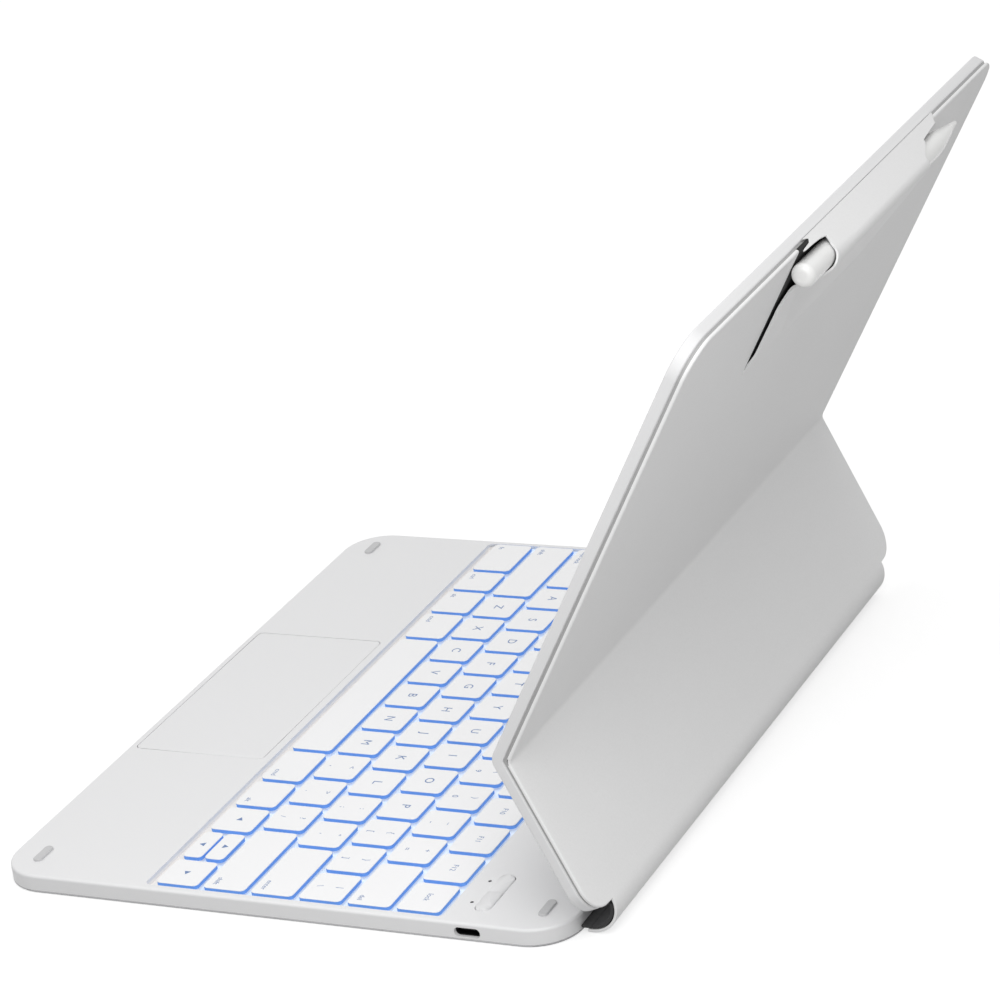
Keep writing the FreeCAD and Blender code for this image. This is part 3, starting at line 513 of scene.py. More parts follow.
def skin_group():
    """Pebbled skin: raised cells with lighter tops, over a slow drift of tone."""
    group, start, end, place, drift = grain_group("Pebbled skin", detail=4.0)
    cells = add_node(group, "TexVoronoi", Randomness=1.0)
    cells.feature = "SMOOTH_F1"
    scaled(group, cells, place, start.outputs["Grain Scale"])
    tops = add_node(group, "MapRange", From_Min=0.1, From_Max=0.7, To_Min=1.0, To_Max=0.0)
    wire(group, (cells, "Distance", tops, "Value"))
    share = worked_out(group, "MULTIPLY_ADD", tops.outputs["Result"], LIGHTER_TOPS, drift)
    return give_out(group, start, end, share, tops.outputs["Result"])


def nap_group():
    """Brushed lining: short fibres laid one way."""
    group, start, end, place, drift = grain_group("Brushed nap", detail=2.0)
    lay = add_node(group, "Mapping", Scale=FIBRE_LAY)
    group.links.new(place, lay.inputs["Vector"])
    fibre = scaled(group, add_node(group, "TexNoise", Detail=5.0, Roughness=0.7), lay.outputs["Vector"],
                   start.outputs["Grain Scale"])
    tone = add_node(group, "MapRange", From_Min=0.1, From_Max=0.45)
    group.links.new(worked_out(group, "MULTIPLY", fibre.outputs["Fac"], drift), tone.inputs["Value"])
    return give_out(group, start, end, tone.outputs["Result"], fibre.outputs["Fac"])


GROUPS = {"satin": ("Satin plastic", satin_group), "skin": ("Pebbled skin", skin_group),
          "nap": ("Brushed nap", nap_group)}


def finish(name, **sockets):
    """Material of a finish, built once: a shared grain group gives its colour, roughness and bump."""
    material = bpy.data.materials.get(name)
    if material is not None:
        return material
    look = Finish(*FINISHES[name])
    tone = getattr(colours(), look.tone) if isinstance(look.tone, str) else look.tone
    label, make = GROUPS[look.group]
    grain_tree = bpy.data.node_groups.get(label) or make()
    material = bpy.data.materials.new(name)
    material.use_nodes = True
    tree = material.node_tree
    shader = set_inputs(tree.nodes["Principled BSDF"], Metallic=METALLIC.get(name, 0.0), **sockets)
    effect = add_node(tree, "Group")
    effect.node_tree = grain_tree
    set_inputs(effect, Light=(*tone, 1.0), Dark=(*(value * look.spread for value in tone), 1.0),
               Grain_Scale=look.grain, Drift_Scale=look.drift)
    low, high = look.roughness
    rough = add_node(tree, "MapRange", From_Min=0.3, From_Max=0.7, To_Min=low, To_Max=high)
    relief = add_node(tree, "Bump", Strength=look.bump, Distance=look.depth)
    wire(tree, (effect, "Color", shader, "Base Color"), (effect, "Drift", rough, "Value"),
         (rough, "Result", shader, "Roughness"), (effect, "Height", relief, "Height"),
         (relief, "Normal", shader, "Normal"))
    return material


def well_finish():
    """Key well that glows with the backlight between the keys, and along its front strip has its own tone and
    a painted glow that lightens its shade.
    """
    material = finish("Lit key well", Emission_Strength=BACKLIGHT)
    tree = material.node_tree
    shader = tree.nodes["Principled BSDF"]
    place = add_node(tree, "TexCoord")
    split = add_node(tree, "SeparateXYZ")
    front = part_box("key_space")[0].y
    share = add_node(tree, "MapRange", From_Min=front - STRIP_START, From_Max=front - STRIP_END)
    wire(tree, (place, "Object", split, "Vector"), (split, "Y", share, "Value"))
    lit = next(link.from_socket for link in tree.links if link.to_socket == shader.inputs["Base Color"])
    # In front of the keys the well takes the strip's tone and its painted glow, which lightens the shade
    # there.
    for label, plain in (("Base Color", STRIP_TONE), ("Emission Color", STRIP_PAINTED_GLOW)):
        tree.links.new(mixed(tree, share.outputs["Result"], plain, lit), shader.inputs[label])
    return material


# Operators, one for each piece or group of like pieces

class CASE_OT_base_shell(bpy.types.Operator):
    """Dress the deck, the bottom cover, the touchpad, the buttons, the lights, the port and the key well"""
    bl_idname = "case.base_shell"
    bl_label = "Base shell"

    def execute(self, context):
        shell, button = finish("Satin shell"), finish("Button satin")
        smoothed_copy("deck_cover", "deck_shell", "keyboard_base", shell)
        smoothed_copy("bottom_cover", "bottom_shell", "keyboard_base", finish("Bottom cover"))
        smoothed_copy("touchpad_plate", "touchpad_surface", "touchpad", shell)
        smoothed_copy("button_left", "button_half_left", "left_button", button)
        smoothed_copy("button_right", "button_half_right", "right_button", button)
        dress(OUTER_PARTS)
        wear(NODES["key_well_tray"], well_finish())
        return {"FINISHED"}


def wear(obj, material):
    """Give an object one finish in place of any other."""
    obj.data.materials.clear()
    obj.data.materials.append(material)


def dress(parts):
    """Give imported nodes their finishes."""
    for name, nodes in parts.items():
        for node in nodes:
            wear(NODES[node], finish(name))


class CASE_OT_bumpers(bpy.types.Operator):
    """Model the four rubber bumpers on the deck"""
    bl_idname = "case.bumpers"
    bl_label = "Deck bumpers"

    def execute(self, context):
        size = sizes()
        low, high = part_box("deck_bumpers")
        half = Vector((size.bumper_length, size.bumper_width, 0.0)) / 2
        bars = []
        for x in (low.x + half.x, high.x - half.x):
            for y in (low.y + half.y, high.y - half.y):
                bar = block("bumper", (x - half.x, y - half.y, low.z), (x + half.x, y + half.y, high.z))
                edit(bar)
                bevel(bar, upright, size.bumper_corner, segments=6)
                bevel(bar, at_height(high.z), size.bumper_edge, segments=3)
                leave_edit()
                bars.append(bar)
        bumpers = joined(bars, "bumper_pads")
        smooth(bumpers)
        settle(bumpers, "bumper_pads", "keyboard_base", finish("Bumper rubber"),
               ("deck_bumpers",))
        return {"FINISHED"}


def keycap(low, high):
    """Keycap, hollow below, with round corners, a fine top edge, and its lit sides as a second finish."""
    size = sizes()
    cap = block("cap", low, high)
    lit = finish("Keycap lit side", Emission_Color=(*colours().glow, 1.0), Emission_Strength=BACKLIGHT)
    cap.data.materials.append(finish("Keycap white"))
    cap.data.materials.append(lit)
    edit(cap)
    bevel(cap, upright, size.cap_corner, segments=4)
    pick_faces(cap, lambda normal: normal.z < -FACING)
    bpy.ops.mesh.inset(thickness=size.cap_wall, depth=0.0)
    bpy.ops.mesh.extrude_region_move(TRANSFORM_OT_translate={"value": (0.0, 0.0, size.cap_hollow)})
    pick_faces(cap, lambda normal: abs(normal.z) < ACROSS)
    cap.active_material_index = 1
    bpy.ops.object.material_slot_assign()
    bevel(cap, at_height(high.z), size.cap_edge, segments=2, material=0)
    leave_edit()
    return cap


def key_boxes(node):
    """Box of each cap of a node from the left."""
    low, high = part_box(node)
    if node not in KEY_GROUPS:
        return [(low, high)]
    gap = sizes().key_gap
    shares = [share for share, _ in KEY_GROUPS[node]]
    step = (high.x - low.x + gap) / sum(shares)
    boxes, x = [], low.x
    for share in shares:
        end = x + share * step
        boxes.append((Vector((x, low.y, low.z)), Vector((end - gap, high.y, high.z))))
        x = end
    return boxes


class CASE_OT_keycaps(bpy.types.Operator):
    """Model every keycap"""
    bl_idname = "case.keycaps"
    bl_label = "Keycaps"

    def execute(self, context):
        for node in ALL_KEYS:
            caps = [keycap(low, high) for low, high in key_boxes(node)]
            caps = joined(caps, "caps_" + node)
            smooth(caps, degrees=30)
            settle(caps, "caps_" + node, node + "_body", None, (node,))
        return {"FINISHED"}


# Marks: print depth, lift off the cap, thickness of an arrow, size and rise of a pair of signs on one cap,
# and a word's distance from the cap's front in insets
PRINT_DEPTH = 0.01 * MM
PRINT_LIFT = 0.012 * MM
ARROW_DEPTH = 0.02 * MM
PAIR_SIZE = 1.15
PAIR_RISE = 0.24
WORD_ROW = 1.5


def mark(text, x, y, z, height, side="CENTER"):
    """Raised print of a short text on a cap."""
    bpy.ops.object.select_all(action="DESELECT")
    bpy.ops.object.text_add(location=(x, y, z))
    obj = bpy.context.object
    obj.data.body = text
    obj.data.size = height
    obj.data.align_x = side
    obj.data.align_y = "CENTER"
    obj.data.extrude = PRINT_DEPTH
    obj.data.resolution_u = 3
    bpy.ops.object.convert(target="MESH")
    obj = bpy.context.object
    bpy.ops.object.transform_apply()
    return obj


def arrow(x, y, z, height, degrees):
    """Raised triangle on an arrow key."""
    obj = added("arrow", bpy.ops.mesh.primitive_circle_add, vertices=3, radius=height / 2, fill_type="NGON",
                location=(x, y, z), rotation=(0.0, 0.0, math.radians(degrees)))
    bpy.ops.object.mode_set(mode="EDIT")
    bpy.ops.mesh.select_all(action="SELECT")
    bpy.ops.mesh.extrude_region_move(TRANSFORM_OT_translate={"value": (0.0, 0.0, ARROW_DEPTH)})
    leave_edit()
    return obj


def cap_marks(node):
    """Marks on the caps of one node."""
    size = sizes()
    marks = []
    boxes = key_boxes(node)
    for i, (low, high) in enumerate(boxes):
        z = high.z + PRINT_LIFT
        x, y = (low.x + high.x) / 2, (low.y + high.y) / 2
        if node in ARROW_KEYS:
            marks.append(arrow(x, y, z, size.word_height, ARROW_KEYS[node]))
        elif node in SINGLE_KEYS:
            word, side = SINGLE_KEYS[node]
            if word:
                x = {"LEFT": low.x + size.mark_inset, "RIGHT": high.x - size.mark_inset, "CENTER": x}[side]
                y = low.y + WORD_ROW * size.mark_inset
                marks.append(mark(word, x, y, z, size.word_height, side))
        else:
            text = KEY_GROUPS[node][i][1]
            if len(text) == 2 and node != "keys_function_row":
                rise = PAIR_RISE * (high.y - low.y)
                for sign, place in zip(text, (y + rise, y - rise)):
                    marks.append(mark(sign, x, place, z, size.word_height * PAIR_SIZE))
            else:
                height = size.letter_height if len(text) == 1 else size.word_height
                marks.append(mark(text, x, y, z, height))
    return marks


class CASE_OT_marks(bpy.types.Operator):
    """Print plain letters, digits and words on the keycaps"""
    bl_idname = "case.marks"
    bl_label = "Key marks"

    def execute(self, context):
        for node in ALL_KEYS:
            marks = cap_marks(node)
            if marks:
                marks = joined(marks, "marks_" + node)
                settle(marks, "marks_" + node, node + "_body", finish("Key marks"))
        return {"FINISHED"}


# Panels: lap of the groove into the layers beside it, edge rounds of skin and lining, and the lining's gap
LAYER_LAP = 0.2 * MM
SKIN_UNDER_ROUND = 0.3 * MM
LINING_ROUND = 0.4 * MM
LINING_GAP = 0.05 * MM


def panel_heights():
    """Inner and outer height of the closed panels."""
    top = HINGE.z + sizes().spine_radius
    return top - sizes().panel_thick, top


def panel_spans():
    """Front and rear of the closed lower and upper panels."""
    size = sizes()
    crease = CREASE_CLOSED.y
    return (crease + size.crease_gap, HINGE.y), (crease - size.upper_length, crease - size.crease_gap)


def round_corners(obj, y, radius, segments=14):
    """Round the upright corners at one end of a plate."""
    bevel(obj, lambda a, b: upright(a, b) and abs(a.y - y) < NEAR, radius, segments)


def panel_plate(name, span, corners, inset, low, high):
    """Plate inside a panel's outline, round at one end, left in edit mode."""
    half = CAD_BOX[1][0] - inset
    y0, y1 = span[0] + inset, span[1] - inset
    plate = block(name, (-half, y0, low), (half, y1, high))
    edit(plate)
    for y, radius in zip((y0, y1), corners):
        if radius > inset:
            round_corners(plate, y, radius - inset)
    return plate


def round_rim(obj, z, radius, segments, square_ends=()):
    """Round the edges of a plate at one height, except along ends that meet other skin."""
    def meets(a, b):
        return any(both_at(Y, y)(a, b) for y in square_ends)
    bevel(obj, lambda a, b: at_height(z)(a, b) and not meets(a, b), radius, segments)


def open_through(obj, inset):
    """Open a plate from face to face, leaving a frame round its edge."""
    pick_faces(obj, lambda normal: abs(normal.z) > FACING)
    bpy.ops.mesh.inset(thickness=inset, depth=0.0)
    bpy.ops.mesh.bridge_edge_loops()


def panel_tray(name, span, corners, square_ends):
    """Casing of a closed panel in three layers: the light front frame, a groove darkened with painted shade,
    and the rear skin.
    """
    size = sizes()
    under, top = panel_heights()
    skin_under = top - size.skin_thick
    frame_top = skin_under - size.groove_width
    rim = panel_plate(name, span, corners, 0.0, under, frame_top)
    round_rim(rim, frame_top, size.frame_round, segments=3)
    round_rim(rim, under, size.frame_round, segments=3)
    open_through(rim, size.lining_inset - size.frame_round)
    leave_edit()
    rim.data.materials.append(finish("Cover rim"))
    groove = panel_plate("groove", span, corners, size.groove_depth, frame_top - LAYER_LAP,
                         skin_under + LAYER_LAP)
    open_through(groove, size.lining_inset - size.groove_depth)
    leave_edit()
    groove.data.materials.append(finish("Cover groove"))
    skin = panel_plate("skin", span, corners, 0.0, skin_under, top)
    round_rim(skin, top, size.skin_round, segments=5, square_ends=square_ends)
    round_rim(skin, skin_under, SKIN_UNDER_ROUND, segments=2)
    leave_edit()
    skin.data.materials.append(finish("Cover skin"))
    return joined([rim, groove, skin], name)


class CASE_OT_panels(bpy.types.Operator):
    """Model the casings and linings of the two cover panels"""
    bl_idname = "case.panels"
    bl_label = "Cover panels"

    def execute(self, context):
        size = sizes()
        under = panel_heights()[0]
        lower, upper = panel_spans()
        panels = (("lower", lower, (0.0, size.foot_corner), lower, LOWER_REST, "lower_cover"),
                  ("upper", upper, (size.top_corner, 0.0), upper[1:], UPPER_REST, "upper_cover"))
        for name, span, corners, square_ends, rest, body in panels:
            tray = panel_tray(name + "_tray", span, corners, square_ends)
            swing(tray, rest)
            smooth(tray, degrees=30)
            settle(tray, name + "_tray", body, None, (name + "_panel_skin",))
            lining = panel_plate(name + "_nap", span, corners, size.lining_inset + LINING_GAP, under,
                                 under + size.lining_thick)
            round_rim(lining, under, LINING_ROUND, segments=3)
            leave_edit()
            swing(lining, rest)
            smooth(lining, degrees=30)
            settle(lining, name + "_nap", body, finish("Cover lining"),
                   (name + "_panel_lining",))
        return {"FINISHED"}


def sheet(name, columns, rows, place, thickness, finishes=()):
    """Soft sheet: a grid with its points moved to a form, a thickness, and a finish on each side."""
    obj = added(name, bpy.ops.mesh.primitive_grid_add, x_subdivisions=columns, y_subdivisions=rows, size=2.0)
    for vertex in obj.data.vertices:
        vertex.co = place((vertex.co.x + 1.0) / 2.0, (vertex.co.y + 1.0) / 2.0)
    obj.data.update()
    for material in finishes:
        obj.data.materials.append(material)
    shaped(obj, "SOLIDIFY", thickness=thickness, offset=-1.0, use_even_offset=True, material_offset=1,
           material_offset_rim=1)
    return obj


def soften_edge(obj, width=0.25 * MM):
    """Recalculate a closed sheet's normals and round its cut edges a little."""
    edit(obj)
    bpy.ops.mesh.select_all(action="SELECT")
    bpy.ops.mesh.normals_make_consistent(inside=False)
    leave_edit()
    shaped(obj, "BEVEL", width=width, segments=2, limit_method="ANGLE", angle_limit=math.radians(60))
    smooth(obj, degrees=40)


def turned(angle):
    """Direction at an angle from the rear towards the top."""
    return Vector((0.0, math.cos(angle), math.sin(angle)))


# Ways along the two panels from the crease at rest, and out of their rear faces
LOWER_OUT = turned(math.pi / 2 - OPEN_ANGLE)
LOWER_DOWN = turned(-OPEN_ANGLE)
UPPER_OUT = turned(math.pi / 2 - OPEN_ANGLE - FOLD_ANGLE)
UPPER_UP = turned(math.pi - OPEN_ANGLE - FOLD_ANGLE)


# Crease: columns and rows of its sheets, share of a layer that is straight at each end, how far its layers
# and its skin run past the gap, and clearances that keep its faces apart from the panels'
CREASE_GRID = (40, 16)
STRAIGHT = 0.2
LAYER_REACH = 1.5 * MM
SKIN_REACH = 0.4 * MM
SIDE_CLEAR = 0.02 * MM
SKIN_SIDE_CLEAR = 0.25 * MM
FRONT_CLEAR = 0.01 * MM
SKIN_CLEAR = 0.015 * MM


def crease_turn(radius, half, reach):
    """Form of a layer that turns round the crease on the tablet's side, with a straight at each end."""
    def place(u, v):
        x = Vector((half * (2 * u - 1), 0.0, 0.0))
        if v < STRAIGHT:
            return CREASE + x + LOWER_DOWN * reach * (1 - v / STRAIGHT) - LOWER_OUT * radius
        if v > 1 - STRAIGHT:
            return CREASE + x + UPPER_UP * reach * (1 - (1 - v) / STRAIGHT) - UPPER_OUT * radius
        angle = math.pi / 2 - OPEN_ANGLE - FOLD_ANGLE * (v - STRAIGHT) / (1 - 2 * STRAIGHT)
        return CREASE + x - turned(angle) * radius
    return place


def crease_valley(height, half, reach):
    """Form of the skin over the crease on the rear: two straights joined by a soft valley."""
    valley = CREASE + (LOWER_OUT + UPPER_OUT) * height / (1 + math.cos(FOLD_ANGLE))

    def place(u, v):
        x = Vector((half * (2 * u - 1), 0.0, 0.0))
        low = CREASE + LOWER_DOWN * reach + LOWER_OUT * height
        high = CREASE + UPPER_UP * reach + UPPER_OUT * height
        return low * (1 - v) ** 2 + valley * 2 * v * (1 - v) + high * v ** 2 + x
    return place


class CASE_OT_crease(bpy.types.Operator):
    """Model the soft fold that joins the two panels"""
    bl_idname = "case.crease"
    bl_label = "Crease"

    def execute(self, context):
        size = sizes()
        half = CAD_BOX[1][0] - SIDE_CLEAR
        depth = panel_heights()[1] - CREASE_CLOSED.z
        reach = size.crease_gap + LAYER_REACH
        span = size.crease_gap + SKIN_REACH
        outer = size.panel_thick - depth + FRONT_CLEAR
        inner = size.skin_thick + size.groove_width - depth
        front = sheet("front", *CREASE_GRID, crease_turn(outer, half, reach), outer - inner)
        soften_edge(front, size.frame_round)
        front.data.materials.append(finish("Cover rim"))
        turn = crease_turn(inner + LAYER_LAP, half - size.groove_depth, reach)
        groove = sheet("groove", *CREASE_GRID, turn, size.groove_width + 2 * LAYER_LAP)
        soften_edge(groove)
        # The crease's groove layer wears the same painted shade.
        groove.data.materials.append(finish("Cover groove"))
        valley = crease_valley(depth + SKIN_CLEAR, half - SKIN_SIDE_CLEAR, span)
        skin = sheet("skin", *CREASE_GRID, valley, SKIN_UNDER_ROUND - size.skin_thick)
        soften_edge(skin)
        skin.data.materials.append(finish("Cover skin"))
        fold = joined([front, groove, skin], "crease_skin")
        smooth(fold, degrees=40)
        fold.data.name = "crease_skin"
        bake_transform(fold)
        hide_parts("crease_bead")
        return {"FINISHED"}


# Spine, in degrees round the hinge: turn of its skin, start of its lining below the seam, and end of it
SPINE_TURN = 123.5
LINING_START = 12.0
LINING_END = -90.0
# Lap of the spine's skin on the lower panel, and columns and rows of its two layers
SPINE_LAP = 4.0 * MM
SPINE_GRID = (40, 60)
SPINE_LINING_GRID = (40, 40)


def spine_arc(radius, start, end, half, lap=0.0):
    """Form of a spine layer: round the hinge between two angles, after a straight lap on the panel."""
    start, end = math.radians(start), math.radians(end)
    turn = radius * (start - end)

    def place(u, v):
        x = Vector((half * (2 * u - 1), HINGE.y, HINGE.z))
        run = v * (turn + lap) - lap
        if run < 0.0:
            return x + turned(start) * radius - turned(start - math.pi / 2) * -run
        return x + turned(start - run / radius) * radius
    return place


class CASE_OT_spine(bpy.types.Operator):
    """Model the two sliding layers of the rear spine"""
    bl_idname = "case.spine"
    bl_label = "Rear spine"

    def execute(self, context):
        size = sizes()
        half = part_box("spine_skin")[1].x
        seam = 90.0 - math.degrees(OPEN_ANGLE)
        arc = spine_arc(size.spine_radius + SKIN_CLEAR, seam, seam - SPINE_TURN, half, SPINE_LAP)
        skin = sheet("spine_cover", *SPINE_GRID, arc, size.spine_skin)
        soften_edge(skin)
        settle(skin, "spine_cover", "lower_cover", finish("Cover skin"), ("spine_skin",))
        outer = size.spine_radius - size.spine_skin - size.spine_layer_gap
        arc = spine_arc(outer, seam - LINING_START, LINING_END, half)
        lining = sheet("spine_inside", *SPINE_LINING_GRID, arc, size.spine_skin)
        strip = block("strip", (-half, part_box("deck_cover")[1].y, HINGE.z - outer),
                      (half, HINGE.y, HINGE.z - outer + size.spine_skin))
        lining = joined([lining, strip], "spine_inside")
        soften_edge(lining)
        # The spine's inside wears near-black painted shade, for the shade in the hollow round the hinge.
        settle(lining, "spine_inside", "keyboard_base", finish("Spine lining"),
               ("spine_lining",))
        return {"FINISHED"}


def ramp(value, low, high):
    """Smooth step from 0 to 1."""
    share = min(max((value - low) / (high - low), 0.0), 1.0)
    return share * share * (3 - 2 * share)


def slope_over(across, height, radius):
    """Angle of a skin slope that starts some way from the stylus and just clears it."""
    return math.atan2(height, across) + math.asin(radius / math.hypot(across, height))


def along(points, share):
    """Value at a share of the way along a few (share, value) points, eased between them."""
    for (low, start), (high, end) in zip(points, points[1:]):
        if share <= high:
            return start + (end - start) * ramp(share, low, high)
    return points[-1][1]


# Edges of the sleeve's two mouths along the stylus in millimetres, from foot (0) over the ridge to top (1)
NEAR_MOUTH = ((0.0, 56.0), (0.30, 55.0), (0.40, 50.0), (0.47, 41.0), (0.60, 39.0), (0.80, 37.5),
              (0.825, 41.0), (0.845, 54.0), (0.870, 54.0), (0.895, 48.5), (0.94, 47.0), (1.0, 50.0))
FAR_MOUTH = ((0.0, -53.0), (0.45, -48.0), (0.60, -47.0), (0.80, -55.0), (0.87, -70.0), (1.0, -73.0))
# Where on that way the ridge starts and ends, and columns and rows of the sleeve
RIDGE_START, RIDGE_END = 0.45, 0.60
SLEEVE_GRID = (120, 120)
# Where the sleeve closes round the stylus, how its open edge lifts off the panel, and its clearance there
PINCH_START, PINCH_END = 18.0 * MM, 50.0 * MM
LIFT_RUN = 10.0 * MM
LIFT_FADE = 0.9
SLEEVE_CLEAR = 0.02 * MM
SLEEVE_EDGE = 0.15 * MM
# Painted shade under the sleeve, a dark patch on the panel that stands for the shade in its pocket: distances
# inside the sleeve's edges, corner, and height over the panel
POCKET_FAR, POCKET_NEAR = 6.0 * MM, 0.5 * MM
POCKET_FOOT = 1.0 * MM
POCKET_TOP = 0.05 * MM
POCKET_CORNER = 3.0 * MM
POCKET_RISE = 0.01 * MM


def sleeve_section(pinch, share):
    """Place up the panel and height of the sleeve's outside, which closes on the stylus where pinched."""
    size = sizes()
    axis = size.upper_length - size.stylus_below_top
    height = size.stylus_radius + size.stylus_gap
    hug = height + size.sleeve_skin
    top = size.upper_length + size.sleeve_skin
    start = size.upper_length - size.sleeve_depth
    foot = start + size.sleeve_pinch * pinch
    ridge_round = size.ridge_round + (hug - size.ridge_round) * pinch
    rise = slope_over(axis - foot, height, hug)
    fall = slope_over(top - axis, height + size.sleeve_tuck, hug)
    climb, drop = math.tan(rise), math.tan(fall)
    ridge = (foot * climb - size.sleeve_tuck + top * drop) / (climb + drop)
    peak = (ridge - foot) * climb
    cut = ridge_round * math.tan((rise + fall) / 2)
    bend = (ridge - cut * math.cos(rise), peak - cut * math.sin(rise))
    if share <= RIDGE_START:
        up = start + (bend[0] - start) * share / RIDGE_START
        slope = (up - foot) * climb
        blend = size.sleeve_lift * pinch
        soft = blend * ramp(up, start, start + LIFT_RUN)
        fade = 1 - ramp(share, LIFT_FADE * RIDGE_START, RIDGE_START)
        return up, (slope + soft + math.sqrt((slope - soft) ** 2 + blend ** 2 * fade)) / 2
    if share >= RIDGE_END:
        part = (share - RIDGE_END) / (1 - RIDGE_END)
        last = (ridge + cut * math.cos(fall), peak - cut * math.sin(fall))
        return last[0] + (top - last[0]) * part, last[1] - (last[1] + size.sleeve_tuck) * part
    angle = rise - (rise + fall) * (share - RIDGE_START) / (RIDGE_END - RIDGE_START)
    centre = (bend[0] + ridge_round * math.sin(rise), bend[1] - ridge_round * math.cos(rise))
    return centre[0] - ridge_round * math.sin(angle), centre[1] + ridge_round * math.cos(angle)


def sleeve_form(u, v):
    """Form of the sleeve: u along the stylus, v from the foot over the ridge to the tucked top edge."""
    near, far = along(NEAR_MOUTH, v) * MM, along(FAR_MOUTH, v) * MM
    x = far + (near - far) * u
    up, out = sleeve_section(ramp(x, PINCH_START, PINCH_END), v)
    return Vector((x, CREASE_CLOSED.y - up, panel_heights()[1] + out + SLEEVE_CLEAR))


class CASE_OT_sleeve(bpy.types.Operator):
    """Model the stylus sleeve, with painted shade on its inside, and a dark patch of painted shade on the
    panel inside it
    """
    bl_idname = "case.sleeve"
    bl_label = "Stylus sleeve"

    def execute(self, context):
        size = sizes()
        outer = panel_heights()[1]
        # The sleeve's inside wears near-black painted shade, its outside the cover skin.
        finishes = (finish("Dark hollow"), finish("Cover skin"))
        sleeve = sheet("sleeve_skin", *SLEEVE_GRID, sleeve_form, -size.sleeve_skin, finishes)
        soften_edge(sleeve, SLEEVE_EDGE)
        swing(sleeve, UPPER_REST)
        settle(sleeve, "sleeve_skin", "upper_cover", None, ("stylus_sleeve",))
        edge = CREASE_CLOSED.y - size.upper_length
        foot = edge + size.sleeve_depth - POCKET_FOOT
        low = (FAR_MOUTH[0][1] * MM + POCKET_FAR, edge - POCKET_TOP, outer - size.skin_thick)
        high = (NEAR_MOUTH[0][1] * MM + POCKET_NEAR, foot, outer + POCKET_RISE)
        # Dark patch on the panel under the sleeve: painted shade of its pocket.
        floor = block("sleeve_pocket", low, high)
        edit(floor)
        round_corners(floor, foot, POCKET_CORNER, segments=6)
        leave_edit()
        swing(floor, UPPER_REST)
        smooth(floor)
        settle(floor, "sleeve_pocket", "upper_cover", finish("Dark hollow"))
        return {"FINISHED"}


# Stylus: round where its nose starts, and taper and end round of its nib
SHOULDER_ROUND = 2.5 * MM
NIB_TAPER = 0.4
NIB_ROUND = 0.5 * MM


class CASE_OT_stylus(bpy.types.Operator):
    """Model the stylus barrel and nib"""
    bl_idname = "case.stylus"
    bl_label = "Stylus"

    def execute(self, context):
        size = sizes()
        outer = panel_heights()[1]
        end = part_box("stylus_barrel")[1].x
        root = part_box("stylus_barrel")[0].x
        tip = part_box("stylus_nib")[0].x
        shoulder = root + size.stylus_taper
        y = CREASE_CLOSED.y - (size.upper_length - size.stylus_below_top)
        z = outer + size.stylus_radius + size.stylus_gap
        barrel = rod_along_x("stylus_body", end, shoulder, size.stylus_radius, y, z)
        edit(barrel)
        pick_faces(barrel, lambda normal: normal.x < -FACING)
        bpy.ops.mesh.extrude_region_move(TRANSFORM_OT_translate={"value": (root - shoulder, 0.0, 0.0)})
        taper = size.nib_radius / size.stylus_radius
        bpy.ops.transform.resize(value=(1.0, taper, taper), center_override=(root, y, z))
        bevel(barrel, both_at(X, end), size.stylus_end_round, segments=8)
        bevel(barrel, both_at(X, shoulder), SHOULDER_ROUND, segments=5)
        leave_edit()
        swing(barrel, UPPER_REST)
        smooth(barrel, degrees=50)
        settle(barrel, "stylus_body", "stylus", finish("Stylus white"), ("stylus_barrel",))
        nib = rod_along_x("stylus_tip", root, tip, size.nib_radius, y, z)
        edit(nib)
        pick_faces(nib, lambda normal: normal.x < -FACING)
        bpy.ops.transform.resize(value=(1.0, NIB_TAPER, NIB_TAPER), center_override=(tip, y, z))
        bevel(nib, both_at(X, tip), NIB_ROUND, segments=4)
        leave_edit()
        swing(nib, UPPER_REST)
        smooth(nib, degrees=50)
        settle(nib, "stylus_tip", "stylus", finish("Nib"), ("stylus_nib",))
        return {"FINISHED"}


def rod_along_x(name, high, low, radius, y, z):
    """Round rod between two places along X."""
    return added(name, bpy.ops.mesh.primitive_cylinder_add, vertices=48, radius=radius, depth=high - low,
                 location=((high + low) / 2, y, z), rotation=(0.0, math.pi / 2, 0.0))


class CASE_OT_inner_parts(bpy.types.Operator):
    """Dress the hinges and the pieces inside the base and panels"""
    bl_idname = "case.inner_parts"
    bl_label = "Hinges and inner parts"

    def execute(self, context):
        dress(INNER_PARTS)
        return {"FINISHED"}


# Stage: camera place and view line, the floor's own light to the camera, and places of the lamps
CAMERA_PLACE = Vector((1.0601, 0.5890, 0.5835))
CAMERA_LOOK = Vector((-0.8183, -0.4303, -0.3811))
SENSOR_WIDTH = 36.0
FAR_CLIP = 100.0
FLOOR_SIZE = 16.0
FLOOR_DROP = 0.1 * MM
FLOOR_SHINE = 0.66
REAR_SUN = Vector((0.0, 0.25, 0.97))
FRONT_SUN = Vector((0.2, -0.45, 0.87))
SUN_ANGLE = math.radians(40)
LAMP_PLACE = Vector((0.50, 0.30, 0.45))
LAMP_AIM = Vector((0.1, 0.1, 0.0))
LAMP_SIZE = 0.4


def show_ray(tree):
    """Value that is 1 for rays that show a surface straight, in a mirror or through glass."""
    path = add_node(tree, "LightPath")
    total = path.outputs["Is Camera Ray"]
    for label in ("Is Glossy Ray", "Is Transmission Ray"):
        total = worked_out(tree, "MAXIMUM", total, path.outputs[label])
    return total


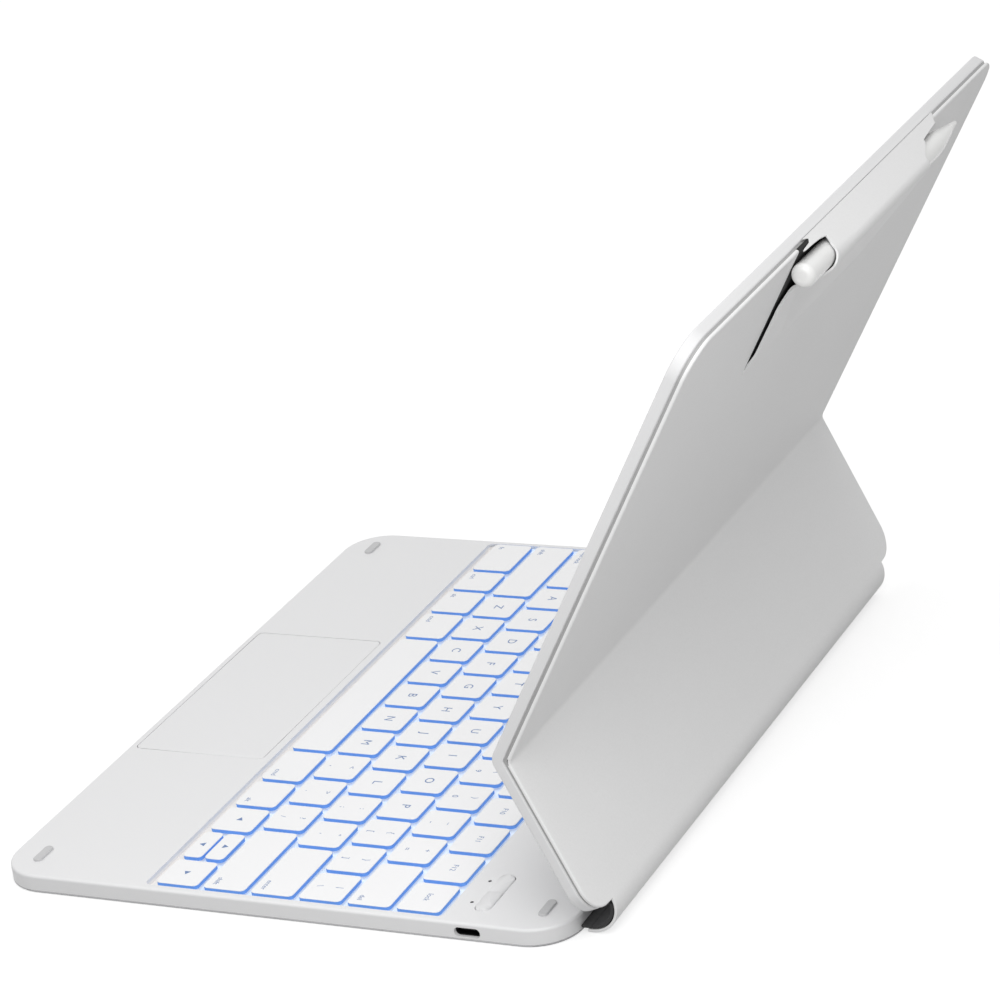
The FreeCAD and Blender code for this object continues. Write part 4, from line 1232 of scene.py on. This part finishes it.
class CASE_OT_stage(bpy.types.Operator):
    """Set up the floor, the light and the camera"""
    bl_idname = "case.stage"
    bl_label = "Stage"

    def execute(self, context):
        scene = context.scene
        stage = scene.case_stage
        self.floor()
        self.sky(scene, stage.sky)
        self.lamps(stage)
        camera = bpy.data.objects.new("camera", bpy.data.cameras.new("camera"))
        scene.collection.objects.link(camera)
        camera.data.lens = stage.lens
        camera.data.sensor_width = SENSOR_WIDTH
        camera.data.clip_end = FAR_CLIP
        turn = CAMERA_LOOK.to_track_quat("-Z", "Y").to_matrix().to_4x4()
        roll = Matrix.Rotation(stage.roll, 4, "Z")
        camera.matrix_world = Matrix.Translation(CAMERA_PLACE) @ turn @ roll
        scene.camera = camera
        scene.view_settings.view_transform = "Standard"
        return {"FINISHED"}

    def floor(self):
        bpy.ops.object.select_all(action="DESELECT")
        bpy.ops.mesh.primitive_plane_add(size=FLOOR_SIZE, location=(0.0, 0.0, -FLOOR_DROP))
        floor = bpy.context.object
        floor.name = "floor"
        material = finish("Pale floor", Specular_IOR_Level=0.0, Emission_Color=WHITE)
        tree = material.node_tree
        shine = worked_out(tree, "MULTIPLY", show_ray(tree), FLOOR_SHINE)
        tree.links.new(shine, tree.nodes["Principled BSDF"].inputs["Emission Strength"])
        floor.data.materials.append(material)

    def sky(self, scene, strength):
        world = bpy.data.worlds.new("studio")
        scene.world = world
        world.use_nodes = True
        tree = world.node_tree
        backdrop = tree.nodes["Background"]
        backdrop.inputs["Color"].default_value = WHITE
        light = add_node(tree, "MapRange", To_Min=strength, To_Max=1.0)
        tree.links.new(show_ray(tree), light.inputs["Value"])
        wire(tree, (light, "Result", backdrop, "Strength"))

    def lamps(self, stage):
        rear = bpy.data.lights.new("rear_sun", "SUN")
        rear.energy = stage.sun
        front = bpy.data.lights.new("front_sun", "SUN")
        front.energy = stage.front
        rear.angle = front.angle = SUN_ANGLE
        area = bpy.data.lights.new("soft_lamp", "AREA")
        area.energy = stage.lamp
        area.size = LAMP_SIZE
        middle = Vector((0.0, 0.0, 0.0))
        lamps = ((rear, REAR_SUN, middle), (front, FRONT_SUN, middle), (area, LAMP_PLACE, LAMP_AIM))
        for light, place, aim in lamps:
            lamp = bpy.data.objects.new(light.name, light)
            bpy.context.scene.collection.objects.link(lamp)
            lamp.location = place
            lamp.rotation_euler = (aim - place).to_track_quat("-Z", "Y").to_euler()


class CASE_PT_panel(bpy.types.Panel):
    """Sizes, colours and build steps of the keyboard case"""
    bl_idname = "CASE_PT_panel"
    bl_label = "Keyboard case"
    bl_space_type = "VIEW_3D"
    bl_region_type = "UI"
    bl_category = "Keyboard case"

    def draw(self, context):
        layout = self.layout
        for step in STEPS:
            layout.operator(step.bl_idname)
        for group in (context.scene.case_sizes, context.scene.case_colours, context.scene.case_stage):
            box = layout.box()
            for name in group.__annotations__:
                box.prop(group, name)


STEPS = (CASE_OT_stage, CASE_OT_base_shell, CASE_OT_bumpers, CASE_OT_keycaps, CASE_OT_marks, CASE_OT_panels,
         CASE_OT_crease, CASE_OT_spine, CASE_OT_sleeve, CASE_OT_stylus, CASE_OT_inner_parts)
CLASSES = (CaseSizes, CaseColours, CaseStage) + STEPS + (CASE_PT_panel,)


def register():
    for kind in CLASSES:
        bpy.utils.register_class(kind)
    bpy.types.Scene.case_sizes = bpy.props.PointerProperty(type=CaseSizes)
    bpy.types.Scene.case_colours = bpy.props.PointerProperty(type=CaseColours)
    bpy.types.Scene.case_stage = bpy.props.PointerProperty(type=CaseStage)


def unregister():
    del bpy.types.Scene.case_stage
    del bpy.types.Scene.case_colours
    del bpy.types.Scene.case_sizes
    for kind in reversed(CLASSES):
        bpy.utils.unregister_class(kind)


def main():
    register()
    bpy.ops.case.stage()
    bpy.ops.case.base_shell()
    bpy.ops.case.bumpers()
    bpy.ops.case.keycaps()
    bpy.ops.case.marks()
    bpy.ops.case.panels()
    bpy.ops.case.crease()
    bpy.ops.case.spine()
    bpy.ops.case.sleeve()
    bpy.ops.case.stylus()
    bpy.ops.case.inner_parts()


if __name__ == "__main__":
    main()
